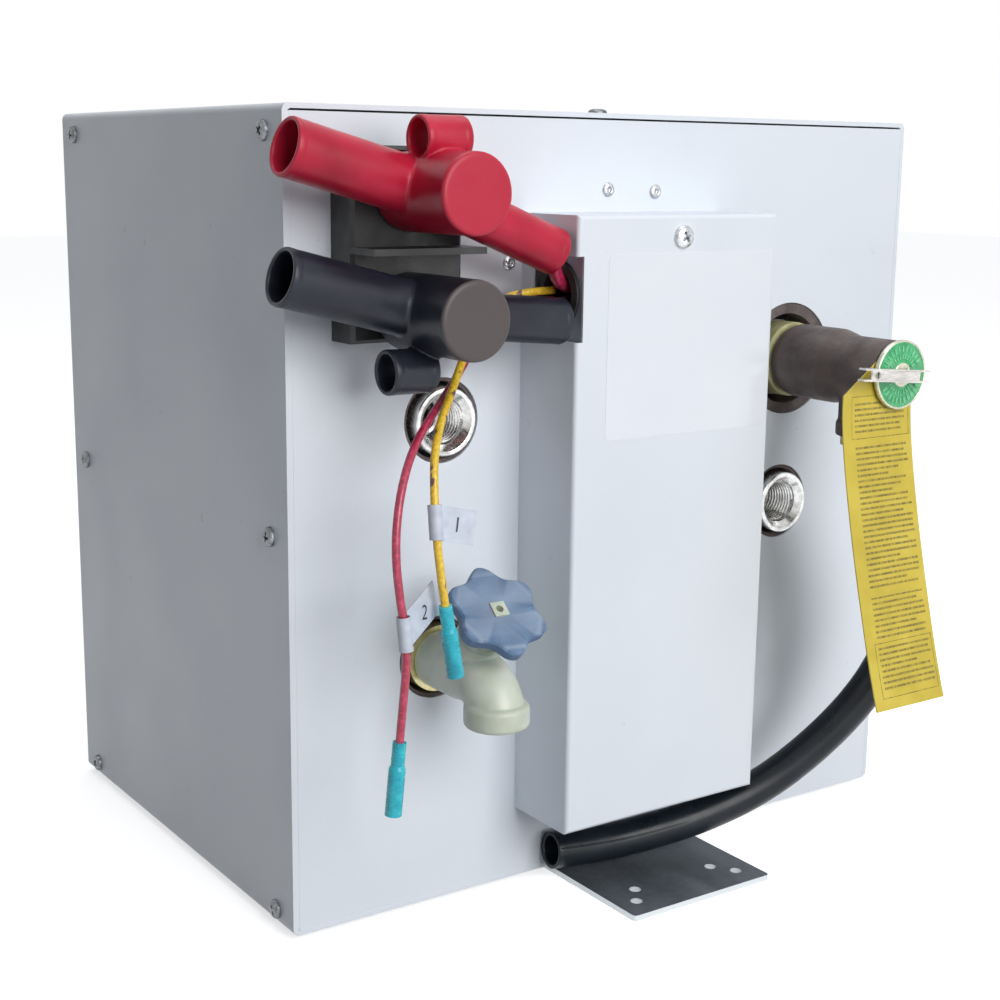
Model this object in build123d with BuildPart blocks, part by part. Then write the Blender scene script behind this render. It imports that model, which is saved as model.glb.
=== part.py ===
"""Caravan water heater: a foam-packed tank in a painted sheet box on a mounting rail.

All sizes are millimetres. The front of the box faces -Y, X runs to the right
seen from the front, Z is up and 0 is the underside of the mounting rail.
"""
import os
from math import atan2, cos, degrees, hypot, pi, radians, sin, sqrt, tan

from build123d import *

os.makedirs("parts", exist_ok=True)

# Casing
casing_width = 331.2
casing_depth = 230.4
casing_height = 330.0
casing_sheet = 1.0
casing_corner = 3.0
hem_depth = 12.0
panel_gap = 0.8
panel_sheet = 1.0
flange_depth = 22.0

# Mounting rail
rail_sheet = 2.5
rail_width = 77.0
rail_reach = 61.0
rail_middle_x = 1.3
rail_corner = 2.0
rail_hole = 2.6
inner_hole_x = 21.7
inner_hole_out = 40.3
outer_hole_x = 28.5
outer_hole_out = 49.7

# Casing screws and panel rivets
screw_shank = 1.9
screw_hole = 2.2
screw_length = 9.0
screw_head = 4.0
screw_head_high = 2.2
screw_inset = 15.2
screw_top_drop = 10.0
screw_middle_drop = 1.0
screw_low_rise = 6.5
screw_cap_x = -8.0
rivet_head = 3.0
rivet_head_high = 1.2
rivet_shank = 1.6
rivet_length = 4.0
rivet_one_x = -13.2
rivet_one_drop = 31.4
rivet_two_x = 12.4
rivet_two_drop = 32.2
rivet_three_x = -63.5
rivet_three_drop = 60.8

# Holes and access opening of the front panel
port_hole = 17.6
relief_hole = 26.0
access_width = 80.0
access_low_z = 62.5
access_top_z = 212.5
access_corner = 8.0

# Tank
tank_radius = 132.0
tank_wall = 1.8
crown_radius = 348.0
knuckle_radius = 20.0
tank_axis_z = 167.5
tank_apex = 24.0
head_skirt = 6.0

# Sockets welded into the front head
port_radius = 14.3
port_thread = 9.6
port_thread_deep = 20.0
port_bore = 8.0
port_proud = 4.0
port_end = 58.0
port_edge = 1.0
hot_x = -95.8
hot_z = 209.3
cold_x = 93.4
cold_z = 156.0
relief_x = 95.9
relief_z = 223.8
relief_socket_radius = 17.5
relief_socket_front = 8.0
relief_socket_end = 60.0
drain_x = -97.9
drain_z = 110.1
drain_socket_front = 12.0
element_x = -4.0
element_z = 97.5
element_socket_radius = 21.0
element_socket_bore = 16.0
element_socket_front = 14.0
element_socket_end = 50.0

# Tubes inside the tank
dip_wall = 1.0
dip_start = 44.0
dip_turn = 90.0
dip_bend = 22.0
pickup_top_x = -56.0
pickup_top_y = 100.0
pickup_top_z = 276.0
inlet_low_x = 66.0
inlet_low_y = 100.0
inlet_low_z = 74.0

# Foam
foam_split = 120.0
foam_flange_gap = 1.0
foam_port_hole = 16.0
foam_relief_hole = 21.0
foam_access_share = 1.0

# Heating element
element_flange = 19.0
element_flange_thick = 8.0
gasket_thick = 2.0
element_plug_end = 40.0
element_leg_x = 8.0
element_rod = 4.0
element_end_gap = 30.4
element_post = 2.5
element_post_out = 15.0
element_block = 12.0
element_block_out = 4.0

# Thermostat
thermostat_width = 40.0
thermostat_height = 60.0
thermostat_front = 4.0
thermostat_middle_z = 152.5
thermostat_edge = 1.5
dial_z = 142.5
dial_radius = 8.0
dial_thick = 4.0
dial_pin = 2.0
dial_pin_deep = 6.0
running_gap = 0.06
pointer_width = 1.6
pointer_deep = 1.0
reset_z = 167.5
reset_radius = 3.0
reset_out = 1.0
reset_end = 14.0
reset_room = 2.0
strap_z = 156.5
strap_width = 9.0
strap_sheet = 1.5
strap_span = 50.0
strap_foot = 8.0

# Wiring box, cover, grommet
cover_left = -57.1
cover_right = 48.4
cover_low_z = 35.0
cover_top_z = 292.0
cover_out = 38.0
cover_sheet = 1.2
cover_bend = 1.8
cover_screw_x = -3.6
cover_screw_z = 283.0
cover_screw_head = 4.6
cover_screw_high = 2.6
cover_screw_shank = 2.0
cover_screw_length = 9.0
notch_low_z = 242.2
notch_top_z = 276.0
notch_back = 8.0
notch_wrap = 3.2
notch_corner = 4.0
box_left = -53.6
box_right = 42.0
box_low_z = 216.5
box_top_z = 288.5
box_out = 33.0
box_sheet = 1.2
box_slot_left = -42.0
box_slot_right = 12.0
box_slot_back = 3.5
box_slot_front = 22.0
tab_width = 24.0
tab_high = 14.0
grommet_out = 22.0
grommet_z = 260.4
grommet_hole = 11.8
grommet_bore = 9.5
grommet_rim = 13.4
grommet_rim_thick = 1.6

# Terminal block, studs, nuts and lugs
block_left = -145.7
block_right = -96.5
block_low_z = 244.0
block_top_z = 317.5
block_out = 16.0
block_edge = 1.5
stud_x = -121.2
red_stud_z = 300.7
black_stud_z = 255.7
stud_radius = 4.0
stud_back = 3.0
stud_out = 50.0
stud_edge = 0.8
stud_boss = 9.0
stud_boss_out = 19.0
fin_z = 279.0
fin_thick = 2.5
fin_out = 33.0
nut_flats = 6.5
nut_thick = 6.5
lug_thick = 1.6
lug_ring = 7.4
lug_barrel = 4.2
lug_start = 8.4
lug_end = 24.0
lead_radius = 2.8
lead_seat = 12.0
lead_run = 42.0

# Terminal boots
boot_hub = 15.0
boot_wall = 1.6
boot_back = 16.3
boot_front = 64.0
boot_edge = 0.8
boot_tube_out = 31.0
left_tube = 10.8
right_tube = 9.2
loop_radius = 8.5
loop_wall = 1.7
loop_width = 19.0
red_left_end = (-180.6, 316.5)
red_right_end = (-62.6, 277.5)
red_loop_x = -121.1
red_loop_z = 320.0
red_loop_out = 38.0
black_left_end = (-183.1, 271.5)
black_right_end = (-59.6, 250.5)
black_loop_x = -133.6
black_loop_z = 235.5
black_loop_out = 36.0

# Leads and wires, routes as corner points
wire_radius = 1.6
element_lead_radius = 2.2
red_lead_route = [
    (-64.0, -144.2, 277.0), (-57.5, -140.6, 266.5), (-52.0, -139.2, 263.4), (-42.6, -137.7, 262.6),
    (-30.6, -136.2, 258.5), (-23.6, -132.2, 244.5), (-22.6, -128.2, 216.5), (-15.6, -118.2, 202.5),
    (-12.6, -106.2, 192.5), (-12.6, -106.2, 182.5)]
black_lead_route = [
    (-64.3, -143.6, 250.4), (-58.5, -143.4, 253.7), (-53.5, -139.7, 257.2), (-45.7, -139.2, 257.1),
    (-38.6, -137.2, 247.5), (-34.6, -132.2, 232.5), (-33.6, -128.2, 215.5), (-25.6, -118.2, 202.5),
    (-20.6, -106.2, 192.5), (-20.6, -106.2, 182.5)]
yellow_inner_route = [
    (-53.1, -132.2, 261.5), (-45.0, -132.2, 261.5), (-33.0, -126.2, 258.5), (-9.6, -123.2, 248.5),
    (-1.6, -123.2, 218.5), (3.4, -116.2, 202.5), (5.4, -106.2, 192.5), (5.4, -106.2, 182.5)]
red_inner_route = [
    (-53.1, -131.7, 257.5), (-46.0, -131.7, 257.5), (-36.0, -124.2, 254.0), (-19.6, -121.7, 240.5),
    (-8.6, -123.2, 216.5), (-4.6, -116.2, 202.5), (-3.1, -106.2, 192.5), (-3.1, -106.2, 182.5)]
element_lead_route = [
    (-15.6, -111.2, 127.0), (-15.6, -122.2, 127.0), (-12.0, -129.0, 118.5), (-12.0, -129.0, 101.5)]
yellow_route = [
    (-53.1, -132.2, 261.5), (-66.0, -132.2, 261.5), (-79.0, -130.7, 258.5), (-88.6, -130.7, 249.0),
    (-98.9, -135.2, 236.2), (-111.1, -146.2, 225.0), (-122.1, -156.2, 216.5), (-129.6, -163.7, 206.0),
    (-133.1, -169.2, 193.5), (-134.0, -172.2, 178.5), (-133.1, -173.7, 163.5), (-130.6, -173.7, 149.0)]
red_route = [
    (-53.1, -131.7, 257.5), (-65.0, -131.7, 257.5), (-77.0, -127.7, 252.5), (-85.6, -126.2, 243.5),
    (-94.6, -129.2, 233.0),
    (-107.1, -137.2, 224.0), (-122.6, -150.2, 217.5), (-135.6, -160.2, 210.0), (-144.6, -167.2, 200.0),
    (-150.6, -172.2, 187.0), (-152.6, -174.2, 172.5), (-151.6, -175.2, 158.0), (-149.6, -176.2, 143.0),
    (-149.1, -176.2, 130.0), (-150.6, -176.2, 116.5), (-151.9, -175.7, 100.5)]
connector_length = 27.0
connector_neck = 2.6
connector_mouth = 3.2
connector_neck_long = 9.0
connector_bore = 2.1
connector_bore_deep = 9.0
connector_seat = 1.5
flag_thick = 0.4
flag_ring = 2.3
flag_high = 13.0
red_flag_long = 22.0
yellow_flag_long = 15.0
red_flag_share = 0.81
red_flag_tilt = 20.0
red_flag_swing = 25.0
yellow_flag_share = 0.8
yellow_flag_tilt = -12.0
yellow_flag_swing = 0.0

# Drain valve
drain_bush_radius = 14.0
drain_bush_out = 2.0
drain_bush_end = 30.0
drain_bush_bore = 6.0
drain_spigot = 10.5
drain_spigot_deep = 8.0
drain_barrel = 12.0
drain_elbow = 11.5
drain_spout_out = 45.0
drain_spout_bend = 14.0
drain_mouth_z = 93.5
drain_collar = 13.2
drain_collar_high = 9.5
drain_collar_edge = 1.2
drain_tilt = 48.0
drain_hub_out = 17.9
drain_inlet_bore = 6.0
drain_inlet_out = 11.0
drain_seat_bore = 4.5
drain_seat_deep = 9.0
drain_seat = -3.0
drain_room = 7.5
drain_neck = 10.0
drain_neck_end = 23.5
drain_outlet_out = 22.0
drain_outlet_bore = 7.0
bonnet_radius = 9.6
bonnet_end = 31.0
bonnet_flats = 8.6
bonnet_plug_deep = 8.0
bonnet_rim = 3.0
washer_radius = 6.6
washer_thick = 2.0
spindle_radius = 3.0
spindle_flange = 6.0
spindle_flange_thick = 1.5
spindle_square = 6.4
spindle_step = 32.0
spindle_end = 42.6
spindle_pit = 1.6
spindle_pit_deep = 4.0
knob_tip = 20.8
knob_valley = 16.8
knob_lobes = 6
knob_points = 36
knob_first_tip = 27.0
knob_thick = 4.5
knob_face = 41.8
knob_edge = 0.9
knob_hub = 6.0
knob_hub_back = 32.4
knob_web = 2.5
knob_skirt = 1.8

# Relief valve
nipple_radius = 13.0
nipple_bore = 9.0
nipple_end = 30.0
nipple_out = 14.0
valve_back = 5.0
valve_back_radius = 15.6
bulb_radius = 16.8
bulb_start = 9.0
bulb_end = 33.0
neck_start = 42.0
neck_radius = 14.5
neck_end = 66.0
neck_edge = 0.8
outlet_out = 51.0
outlet_radius = 12.5
outlet_low_z = 194.5
outlet_lip = 13.4
outlet_lip_high = 6.0
outlet_thread = 9.6
valve_seat_out = 22.0
valve_seat_bore = 6.0
valve_room = 10.5
valve_room_end = 58.0
stem_radius = 1.5
stem_gap = 0.1
stem_out = 74.5
disc_radius = 8.2
disc_thick = 2.0
probe_radius = 4.0
probe_end = 118.0
boss_radius = 3.4
cap_back = 67.5
cap_front = 70.0
cap_radius = 16.0
cap_edge = 0.6
spring_gap = 0.2
spring_coil = 5.6
spring_wire = 0.9
spring_turns_share = 6.0
lever_pin_out = 73.0
lever_pin_radius = 0.9
lever_left = 25.6
lever_right = 13.0
lever_prong = 17.5
lever_half = 2.75
lever_sheet = 0.8
lever_back = 70.6
lever_front = 76.0
lever_eye = 1.6
lever_eye_x = 15.0
lever_slot_left = 3.5
barb_flange = 11.0
barb_flange_high = 4.0
barb_thread_high = 8.0
barb_tail = 6.35
barb_tail_high = 11.0
barb_bore = 4.2

# Discharge hose
hose_radius = 8.2
hose_bore = 6.35
hose_route = [
    (95.9, -166.2, 190.5), (95.9, -166.2, 168.5), (110.6, -170.7, 144.5), (118.9, -172.7, 121.0),
    (117.2, -171.2, 96.0), (105.9, -166.2, 73.0), (86.9, -157.7, 50.5), (61.4, -147.2, 29.9),
    (31.4, -138.0, 18.6), (1.4, -130.9, 14.0), (-22.1, -126.8, 13.0), (-43.6, -124.6, 14.8)]

# Hang tag
tag_width = 42.0
tag_middle_x = 85.4
tag_top_z = 229.8
tag_thick = 0.6
tag_back = 66.3
tag_hole = 3.9
tag_corner_wide = 13.0
tag_corner_high = 8.5
tag_top_lean = (0.0, -1.0)
tag_low_lean = (29.0, -83.0)
tag_curve = [(0.0, 229.8), (0.0, 206.0), (4.6, 176.5), (14.8, 132.5), (29.0, 83.5)]

# Share of the shorter run that a cord's bend takes up at a corner of its route
bend_share = 0.45

# One overrun serves every cut that passes right through
overrun = 1.0

# Derived places
panel_y = -casing_depth / 2
casing_low_z = rail_sheet
casing_middle_z = rail_sheet + casing_height / 2
casing_top_z = rail_sheet + casing_height
hem_inner = 2 * casing_sheet
panel_inset = hem_inner + panel_gap
access_x = element_x
element_reach = casing_depth - tank_apex - element_end_gap
sin_tilt = sin(radians(drain_tilt))
cos_tilt = cos(radians(drain_tilt))


def front_at(x, z, out=0):
    """Plane on the front of the box, x to the right, y up, z towards the viewer."""
    return Plane(origin=(x, panel_y - out, z), x_dir=(1, 0, 0), z_dir=(0, -1, 0))


def side_at(x, z, out=0):
    """Plane facing +X, its x along +Y and its y up."""
    return Plane(origin=(x, panel_y - out, z), x_dir=(0, 1, 0), z_dir=(1, 0, 0))


def slab(place, width, height, thick, mode=Mode.ADD):
    """Centred rectangle raised along the z axis of a plane."""
    with BuildSketch(place) as outline:
        Rectangle(width, height)
    extrude(outline.sketch, amount=thick, mode=mode)


def disc(place, radius, thick, mode=Mode.ADD):
    """Round raised along the z axis of a plane."""
    with BuildSketch(place) as outline:
        Circle(radius)
    extrude(outline.sketch, amount=thick, mode=mode)


def hexagon(place, flats, thick, mode=Mode.ADD):
    """Six-sided bar, flats is the distance from its axis to a flat."""
    with BuildSketch(place) as outline:
        RegularPolygon(flats, 6, major_radius=False)
    extrude(outline.sketch, amount=thick, mode=mode)


def turned(place, corners, mode=Mode.ADD):
    """Outline of (radius, height) corners turned about the z axis of a plane."""
    section = Plane(origin=place.origin, x_dir=place.x_dir, z_dir=-place.y_dir)
    with BuildSketch(section) as outline:
        with BuildLine():
            Polyline(*corners, close=True)
        make_face()
    revolve(outline.sketch, axis=Axis(place.origin, place.z_dir), mode=mode)


def bend_radii(points):
    """Arc radius at each inner corner, from the shorter run beside it."""
    radii = []
    for before, corner, after in zip(points, points[1:], points[2:]):
        run_in = Vector(*corner) - Vector(*before)
        run_out = Vector(*after) - Vector(*corner)
        half_turn = radians(run_in.get_angle(run_out)) / 2
        radii.append(bend_share * min(run_in.length, run_out.length) / tan(half_turn))
    return radii


def route_path(points):
    """Straight runs joined by tangent arcs."""
    with BuildLine() as route:
        FilletPolyline(*points, radius=bend_radii(points))
    return route.wire()


def laid(name, points, radius, bore=0):
    """Round cord or hose along a route, prints its length and arc radii."""
    radii = bend_radii(points)
    path = route_path(points)
    with BuildSketch(Plane(origin=path @ 0, z_dir=path % 0)) as section:
        Circle(radius)
        if bore:
            Circle(bore, mode=Mode.SUBTRACT)
    sweep(section.sketch, path=path)
    area = pi * (radius * radius - bore * bore)
    print(name, "length", round(path.length, 1), "section volume", round(area * path.length),
          "radii", [round(r) for r in radii])


def head_depth(x, z):
    """Depth of the crown of the front head behind the front panel plane."""
    reach = hypot(x, z - tank_axis_z)
    return tank_apex + crown_radius - sqrt(crown_radius * crown_radius - reach * reach)


def crown_corners(wall):
    """Points of the dished head, wall inside its outer skin, as (radius, depth)."""
    crown = crown_radius - wall
    knuckle = knuckle_radius - wall
    ring = tank_radius - knuckle_radius
    middle = crown_radius
    back = sqrt((crown_radius - knuckle_radius) ** 2 - ring * ring)
    share = crown / (crown_radius - knuckle_radius)
    meet = (ring * share, middle - back * share)
    half_angle = atan2(ring, back) / 2
    crown_half = (crown * sin(half_angle), middle - crown * cos(half_angle))
    knuckle_middle = (ring, middle - back)
    lean = (pi / 2 + atan2(ring, back)) / 2
    knuckle_half = (ring + knuckle * sin(lean), knuckle_middle[1] - knuckle * cos(lean))
    edge = (ring + knuckle, knuckle_middle[1])
    return (0, wall), crown_half, meet, knuckle_half, edge


def dished(place, filled=False):
    """Dished tank head turned about the z axis of a plane that starts at its apex."""
    section = Plane(origin=place.origin, x_dir=place.x_dir, z_dir=-place.y_dir)
    outer = crown_corners(0)
    inner = crown_corners(tank_wall)
    seam = outer[4][1] + head_skirt
    with BuildSketch(section) as outline:
        with BuildLine():
            ThreePointArc(outer[0], outer[1], outer[2])
            ThreePointArc(outer[2], outer[3], outer[4])
            if filled:
                Line(outer[4], (0, outer[4][1]))
                Line((0, outer[4][1]), outer[0])
            else:
                Line(outer[4], (outer[4][0], seam))
                Line((outer[4][0], seam), (inner[4][0], seam))
                Line((inner[4][0], seam), inner[4])
                ThreePointArc(inner[4], inner[3], inner[2])
                ThreePointArc(inner[2], inner[1], inner[0])
                Line(inner[0], outer[0])
        make_face()
    revolve(outline.sketch, axis=Axis(place.origin, place.z_dir),
            mode=Mode.SUBTRACT if filled else Mode.ADD)


knuckle_depth = crown_corners(0)[4][1]
seam_front = tank_apex + knuckle_depth + head_skirt
seam_back = casing_depth - seam_front
head_front_place = Plane(origin=(0, panel_y + tank_apex, tank_axis_z), x_dir=(1, 0, 0), z_dir=(0, 1, 0))
head_back_place = Plane(origin=(0, -panel_y - tank_apex, tank_axis_z), x_dir=(1, 0, 0), z_dir=(0, -1, 0))
side_columns = [(side, y) for side in (-1, 1)
                for y in (panel_y + screw_inset, -panel_y - screw_inset)]
screw_rows = [casing_top_z - screw_top_drop, casing_middle_z - screw_middle_drop,
              casing_low_z + screw_low_rise]
rivet_places = ((rivet_one_x, casing_top_z - rivet_one_drop), (rivet_two_x, casing_top_z - rivet_two_drop),
                (rivet_three_x, casing_top_z - rivet_three_drop))


def screw_places():
    """Planes of all casing screws, z pointing out of the sheet."""
    places = []
    for side, y in side_columns:
        for z in screw_rows:
            places.append(Plane(origin=(side * casing_width / 2, y, z), x_dir=(0, side, 0),
                                z_dir=(side, 0, 0)))
    for y in (panel_y + screw_inset, -panel_y - screw_inset):
        places.append(Plane(origin=(screw_cap_x, y, casing_top_z), x_dir=(1, 0, 0), z_dir=(0, 0, 1)))
    return places


# Painted wrap of the box, its front and rear edges folded back as hems
with BuildPart() as casing_wrap:
    with BuildSketch(front_at(0, casing_middle_z)) as wrap_ring:
        RectangleRounded(casing_width, casing_height, casing_corner)
        RectangleRounded(casing_width - 2 * casing_sheet, casing_height - 2 * casing_sheet,
                         casing_corner - casing_sheet, mode=Mode.SUBTRACT)
    extrude(amount=-casing_depth)
    for hem_start in (0, hem_depth - casing_depth):
        with BuildSketch(front_at(0, casing_middle_z, hem_start)) as hem_ring:
            RectangleRounded(casing_width - casing_sheet, casing_height - casing_sheet,
                             casing_corner - casing_sheet / 2)
            RectangleRounded(casing_width - 2 * hem_inner, casing_height - 2 * hem_inner,
                             casing_corner - casing_sheet, mode=Mode.SUBTRACT)
        extrude(amount=-hem_depth)
    for place in screw_places():
        disc(place.offset(overrun), screw_hole, -overrun - 2 * casing_sheet, mode=Mode.SUBTRACT)
casing_wrap.part.label = "casing_wrap"
export_step(casing_wrap.part, "parts/casing_wrap.step")


def pan(start, inward):
    """Flanged closing panel of the box, inward is -1 for the front one."""
    width = casing_width - 2 * panel_inset
    height = casing_height - 2 * panel_inset
    with BuildSketch(front_at(0, casing_middle_z, start)) as face:
        Rectangle(width, height)
    extrude(face.sketch, amount=inward * panel_sheet)
    with BuildSketch(front_at(0, casing_middle_z, start)) as rim:
        Rectangle(width, height)
        Rectangle(width - 2 * panel_sheet, height - 2 * panel_sheet, mode=Mode.SUBTRACT)
    extrude(rim.sketch, amount=inward * flange_depth)


# Front panel with the port holes and the access opening behind the cover
with BuildPart() as front_panel:
    pan(0, -1)
    for x, z, radius in ((hot_x, hot_z, port_hole), (cold_x, cold_z, port_hole),
                         (drain_x, drain_z, port_hole), (relief_x, relief_z, relief_hole)):
        disc(front_at(x, z), radius, -panel_sheet, mode=Mode.SUBTRACT)
    for x, z in rivet_places:
        disc(front_at(x, z), rivet_shank, -panel_sheet, mode=Mode.SUBTRACT)
    with BuildSketch(front_at(access_x, (access_low_z + access_top_z) / 2)) as access_hole:
        RectangleRounded(access_width, access_top_z - access_low_z, access_corner)
    extrude(amount=-panel_sheet, mode=Mode.SUBTRACT)
    for place in screw_places():
        disc(place.offset(overrun), screw_shank, -overrun - 2 * screw_length, mode=Mode.SUBTRACT)
front_panel.part.label = "front_panel"
export_step(front_panel.part, "parts/front_panel.step")

# Rear panel, plain
with BuildPart() as rear_panel:
    pan(-casing_depth, 1)
    for place in screw_places():
        disc(place.offset(overrun), screw_shank, -overrun - 2 * screw_length, mode=Mode.SUBTRACT)
rear_panel.part.label = "rear_panel"
export_step(rear_panel.part, "parts/rear_panel.step")

# Sheet metal screws that hold both panels in the wrap
with BuildPart() as casing_screws:
    for place in screw_places():
        turned(place, [(0, -screw_length), (screw_shank, -screw_length + screw_shank),
                       (screw_shank, 0), (screw_head, 0), (screw_head, screw_head_high / 2),
                       (screw_head / 2, screw_head_high), (0, screw_head_high)])
casing_screws.part.label = "casing_screws"
export_step(casing_screws.part, "parts/casing_screws.step")

# Blind rivets in the front panel
with BuildPart() as panel_rivets:
    for x, z in rivet_places:
        turned(front_at(x, z), [(0, -rivet_length), (rivet_shank, -rivet_length), (rivet_shank, 0),
                                (rivet_head, 0), (rivet_head / 2, rivet_head_high),
                                (0, rivet_head_high)])
panel_rivets.part.label = "panel_rivets"
export_step(panel_rivets.part, "parts/panel_rivets.step")

# Galvanised mounting rail spot welded under the box
with BuildPart() as mounting_rail:
    with BuildSketch(Plane.XY) as rail_outline:
        with Locations((rail_middle_x, 0)):
            RectangleRounded(rail_width, casing_depth + 2 * rail_reach, rail_corner)
        for end in (-1, 1):
            for side in (-1, 1):
                with Locations((rail_middle_x + side * inner_hole_x,
                                end * (casing_depth / 2 + inner_hole_out)),
                               (rail_middle_x + side * outer_hole_x,
                                end * (casing_depth / 2 + outer_hole_out))):
                    Circle(rail_hole, mode=Mode.SUBTRACT)
    extrude(amount=rail_sheet)
mounting_rail.part.label = "mounting_rail"
export_step(mounting_rail.part, "parts/mounting_rail.step")

# Tank barrel and heads, butt welded at the seams
with BuildPart() as tank_barrel:
    with BuildSketch(front_at(0, tank_axis_z, -seam_front)) as barrel_ring:
        Circle(tank_radius)
        Circle(tank_radius - tank_wall, mode=Mode.SUBTRACT)
    extrude(amount=seam_front - seam_back)
tank_barrel.part.label = "tank_barrel"
export_step(tank_barrel.part, "parts/tank_barrel.step")

socket_places = ((hot_x, hot_z, port_radius), (cold_x, cold_z, port_radius),
                 (drain_x, drain_z, port_radius), (relief_x, relief_z, relief_socket_radius),
                 (element_x, element_z, element_socket_radius))

with BuildPart() as tank_front_head:
    dished(head_front_place)
    for x, z, radius in socket_places:
        disc(front_at(x, z), radius, -relief_socket_end - overrun, mode=Mode.SUBTRACT)
tank_front_head.part.label = "tank_front_head"
export_step(tank_front_head.part, "parts/tank_front_head.step")

with BuildPart() as tank_rear_head:
    dished(head_back_place)
tank_rear_head.part.label = "tank_rear_head"
export_step(tank_rear_head.part, "parts/tank_rear_head.step")


def pipe_socket(x, z, front, edge):
    """Threaded pipe socket, front is how far it stands out of the panel plane."""
    turned(front_at(x, z), [
        (port_thread, front - port_thread_deep), (port_thread, front - edge),
        (port_thread + edge, front), (port_radius - edge, front), (port_radius, front - edge),
        (port_radius, -port_end), (port_bore, -port_end), (port_bore, front - port_thread_deep)])


# Pipe sockets for hot water out, cold water in and the drain
with BuildPart() as hot_outlet_socket:
    pipe_socket(hot_x, hot_z, port_proud, port_edge)
hot_outlet_socket.part.label = "hot_outlet_socket"
export_step(hot_outlet_socket.part, "parts/hot_outlet_socket.step")

with BuildPart() as cold_inlet_socket:
    pipe_socket(cold_x, cold_z, port_proud, port_edge)
cold_inlet_socket.part.label = "cold_inlet_socket"
export_step(cold_inlet_socket.part, "parts/cold_inlet_socket.step")

with BuildPart() as drain_socket:
    pipe_socket(drain_x, drain_z, -drain_socket_front, port_edge)
drain_socket.part.label = "drain_socket"
export_step(drain_socket.part, "parts/drain_socket.step")

with BuildPart() as relief_socket:
    turned(front_at(relief_x, relief_z), [
        (nipple_radius, -relief_socket_front), (relief_socket_radius, -relief_socket_front),
        (relief_socket_radius, -relief_socket_end), (nipple_bore, -relief_socket_end),
        (nipple_bore, -nipple_end), (nipple_radius, -nipple_end)])
relief_socket.part.label = "relief_socket"
export_step(relief_socket.part, "parts/relief_socket.step")

with BuildPart() as element_socket:
    turned(front_at(element_x, element_z), [
        (element_socket_bore, -element_socket_front),
        (element_socket_radius, -element_socket_front),
        (element_socket_radius, -element_socket_end), (element_socket_bore, -element_socket_end)])
element_socket.part.label = "element_socket"
export_step(element_socket.part, "parts/element_socket.step")


def dip_tube(x, z, end_point):
    """Tube from a socket into the tank, bent towards the end point."""
    with BuildLine() as route:
        FilletPolyline((x, panel_y + dip_start, z), (x, panel_y + dip_turn, z), end_point,
                       radius=dip_bend)
    path = route.wire()
    with BuildSketch(Plane(origin=path @ 0, z_dir=path % 0)) as section:
        Circle(port_bore)
        Circle(port_bore - dip_wall, mode=Mode.SUBTRACT)
    sweep(section.sketch, path=path)


# Hot water is taken from the top of the tank, cold water enters near the bottom
with BuildPart() as hot_pickup_tube:
    dip_tube(hot_x, hot_z, (pickup_top_x, panel_y + pickup_top_y, pickup_top_z))
hot_pickup_tube.part.label = "hot_pickup_tube"
export_step(hot_pickup_tube.part, "parts/hot_pickup_tube.step")

with BuildPart() as cold_inlet_tube:
    dip_tube(cold_x, cold_z, (inlet_low_x, panel_y + inlet_low_y, inlet_low_z))
cold_inlet_tube.part.label = "cold_inlet_tube"
export_step(cold_inlet_tube.part, "parts/cold_inlet_tube.step")


def foam_slab(start, wide, high, corner, thick, mode=Mode.ADD):
    """Round-cornered slab of foam between two depths."""
    with BuildSketch(front_at(0, casing_middle_z, -start)) as outline:
        RectangleRounded(wide, high, corner)
    extrude(outline.sketch, amount=-thick, mode=mode)


def foam_block(start, end, narrow_start, narrow_end):
    """Foam filling between two depths, narrower beside the panel flanges."""
    wide = casing_width - 2 * casing_sheet
    high = casing_height - 2 * casing_sheet
    corner = casing_corner - casing_sheet
    step = 2 * (panel_inset + panel_sheet + foam_flange_gap - casing_sheet)
    wide_start = narrow_end if narrow_start == start else start
    wide_end = narrow_start if narrow_end == end else end
    foam_slab(wide_start, wide, high, corner, wide_end - wide_start)
    foam_slab(narrow_start, wide - step, high - step, corner, narrow_end - narrow_start)


# Foam halves round the tank
with BuildPart() as foam_front:
    foam_block(panel_sheet, foam_split, panel_sheet, flange_depth + foam_flange_gap)
    dished(head_front_place, filled=True)
    disc(front_at(0, tank_axis_z, -tank_apex - knuckle_depth), tank_radius,
         -foam_split - overrun + tank_apex + knuckle_depth, mode=Mode.SUBTRACT)
    for x, z in ((hot_x, hot_z), (cold_x, cold_z), (drain_x, drain_z)):
        disc(front_at(x, z), foam_port_hole, -tank_apex - knuckle_depth, mode=Mode.SUBTRACT)
    disc(front_at(relief_x, relief_z), foam_relief_hole, -tank_apex - knuckle_depth,
         mode=Mode.SUBTRACT)
    slab(front_at(access_x, (access_low_z + access_top_z) / 2), access_width * foam_access_share,
         access_top_z - access_low_z, -tank_apex - knuckle_depth, mode=Mode.SUBTRACT)
    for x, z in rivet_places:
        disc(front_at(x, z), rivet_head, -rivet_length - overrun, mode=Mode.SUBTRACT)
    for place in screw_places():
        disc(place, screw_head, -screw_length - overrun, mode=Mode.SUBTRACT)
foam_front.part.label = "foam_front"
export_step(foam_front.part, "parts/foam_front.step")

with BuildPart() as foam_rear:
    foam_block(foam_split, casing_depth - panel_sheet,
               casing_depth - flange_depth - foam_flange_gap, casing_depth - panel_sheet)
    dished(head_back_place, filled=True)
    disc(front_at(0, tank_axis_z, overrun - foam_split), tank_radius,
         foam_split - overrun - casing_depth + tank_apex + knuckle_depth, mode=Mode.SUBTRACT)
    for place in screw_places():
        disc(place, screw_head, -screw_length - overrun, mode=Mode.SUBTRACT)
foam_rear.part.label = "foam_rear"
export_step(foam_rear.part, "parts/foam_rear.step")

# Screw-in heating element with its gasket
element_place = front_at(element_x, element_z)
flange_front = -element_socket_front + gasket_thick + element_flange_thick

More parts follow.
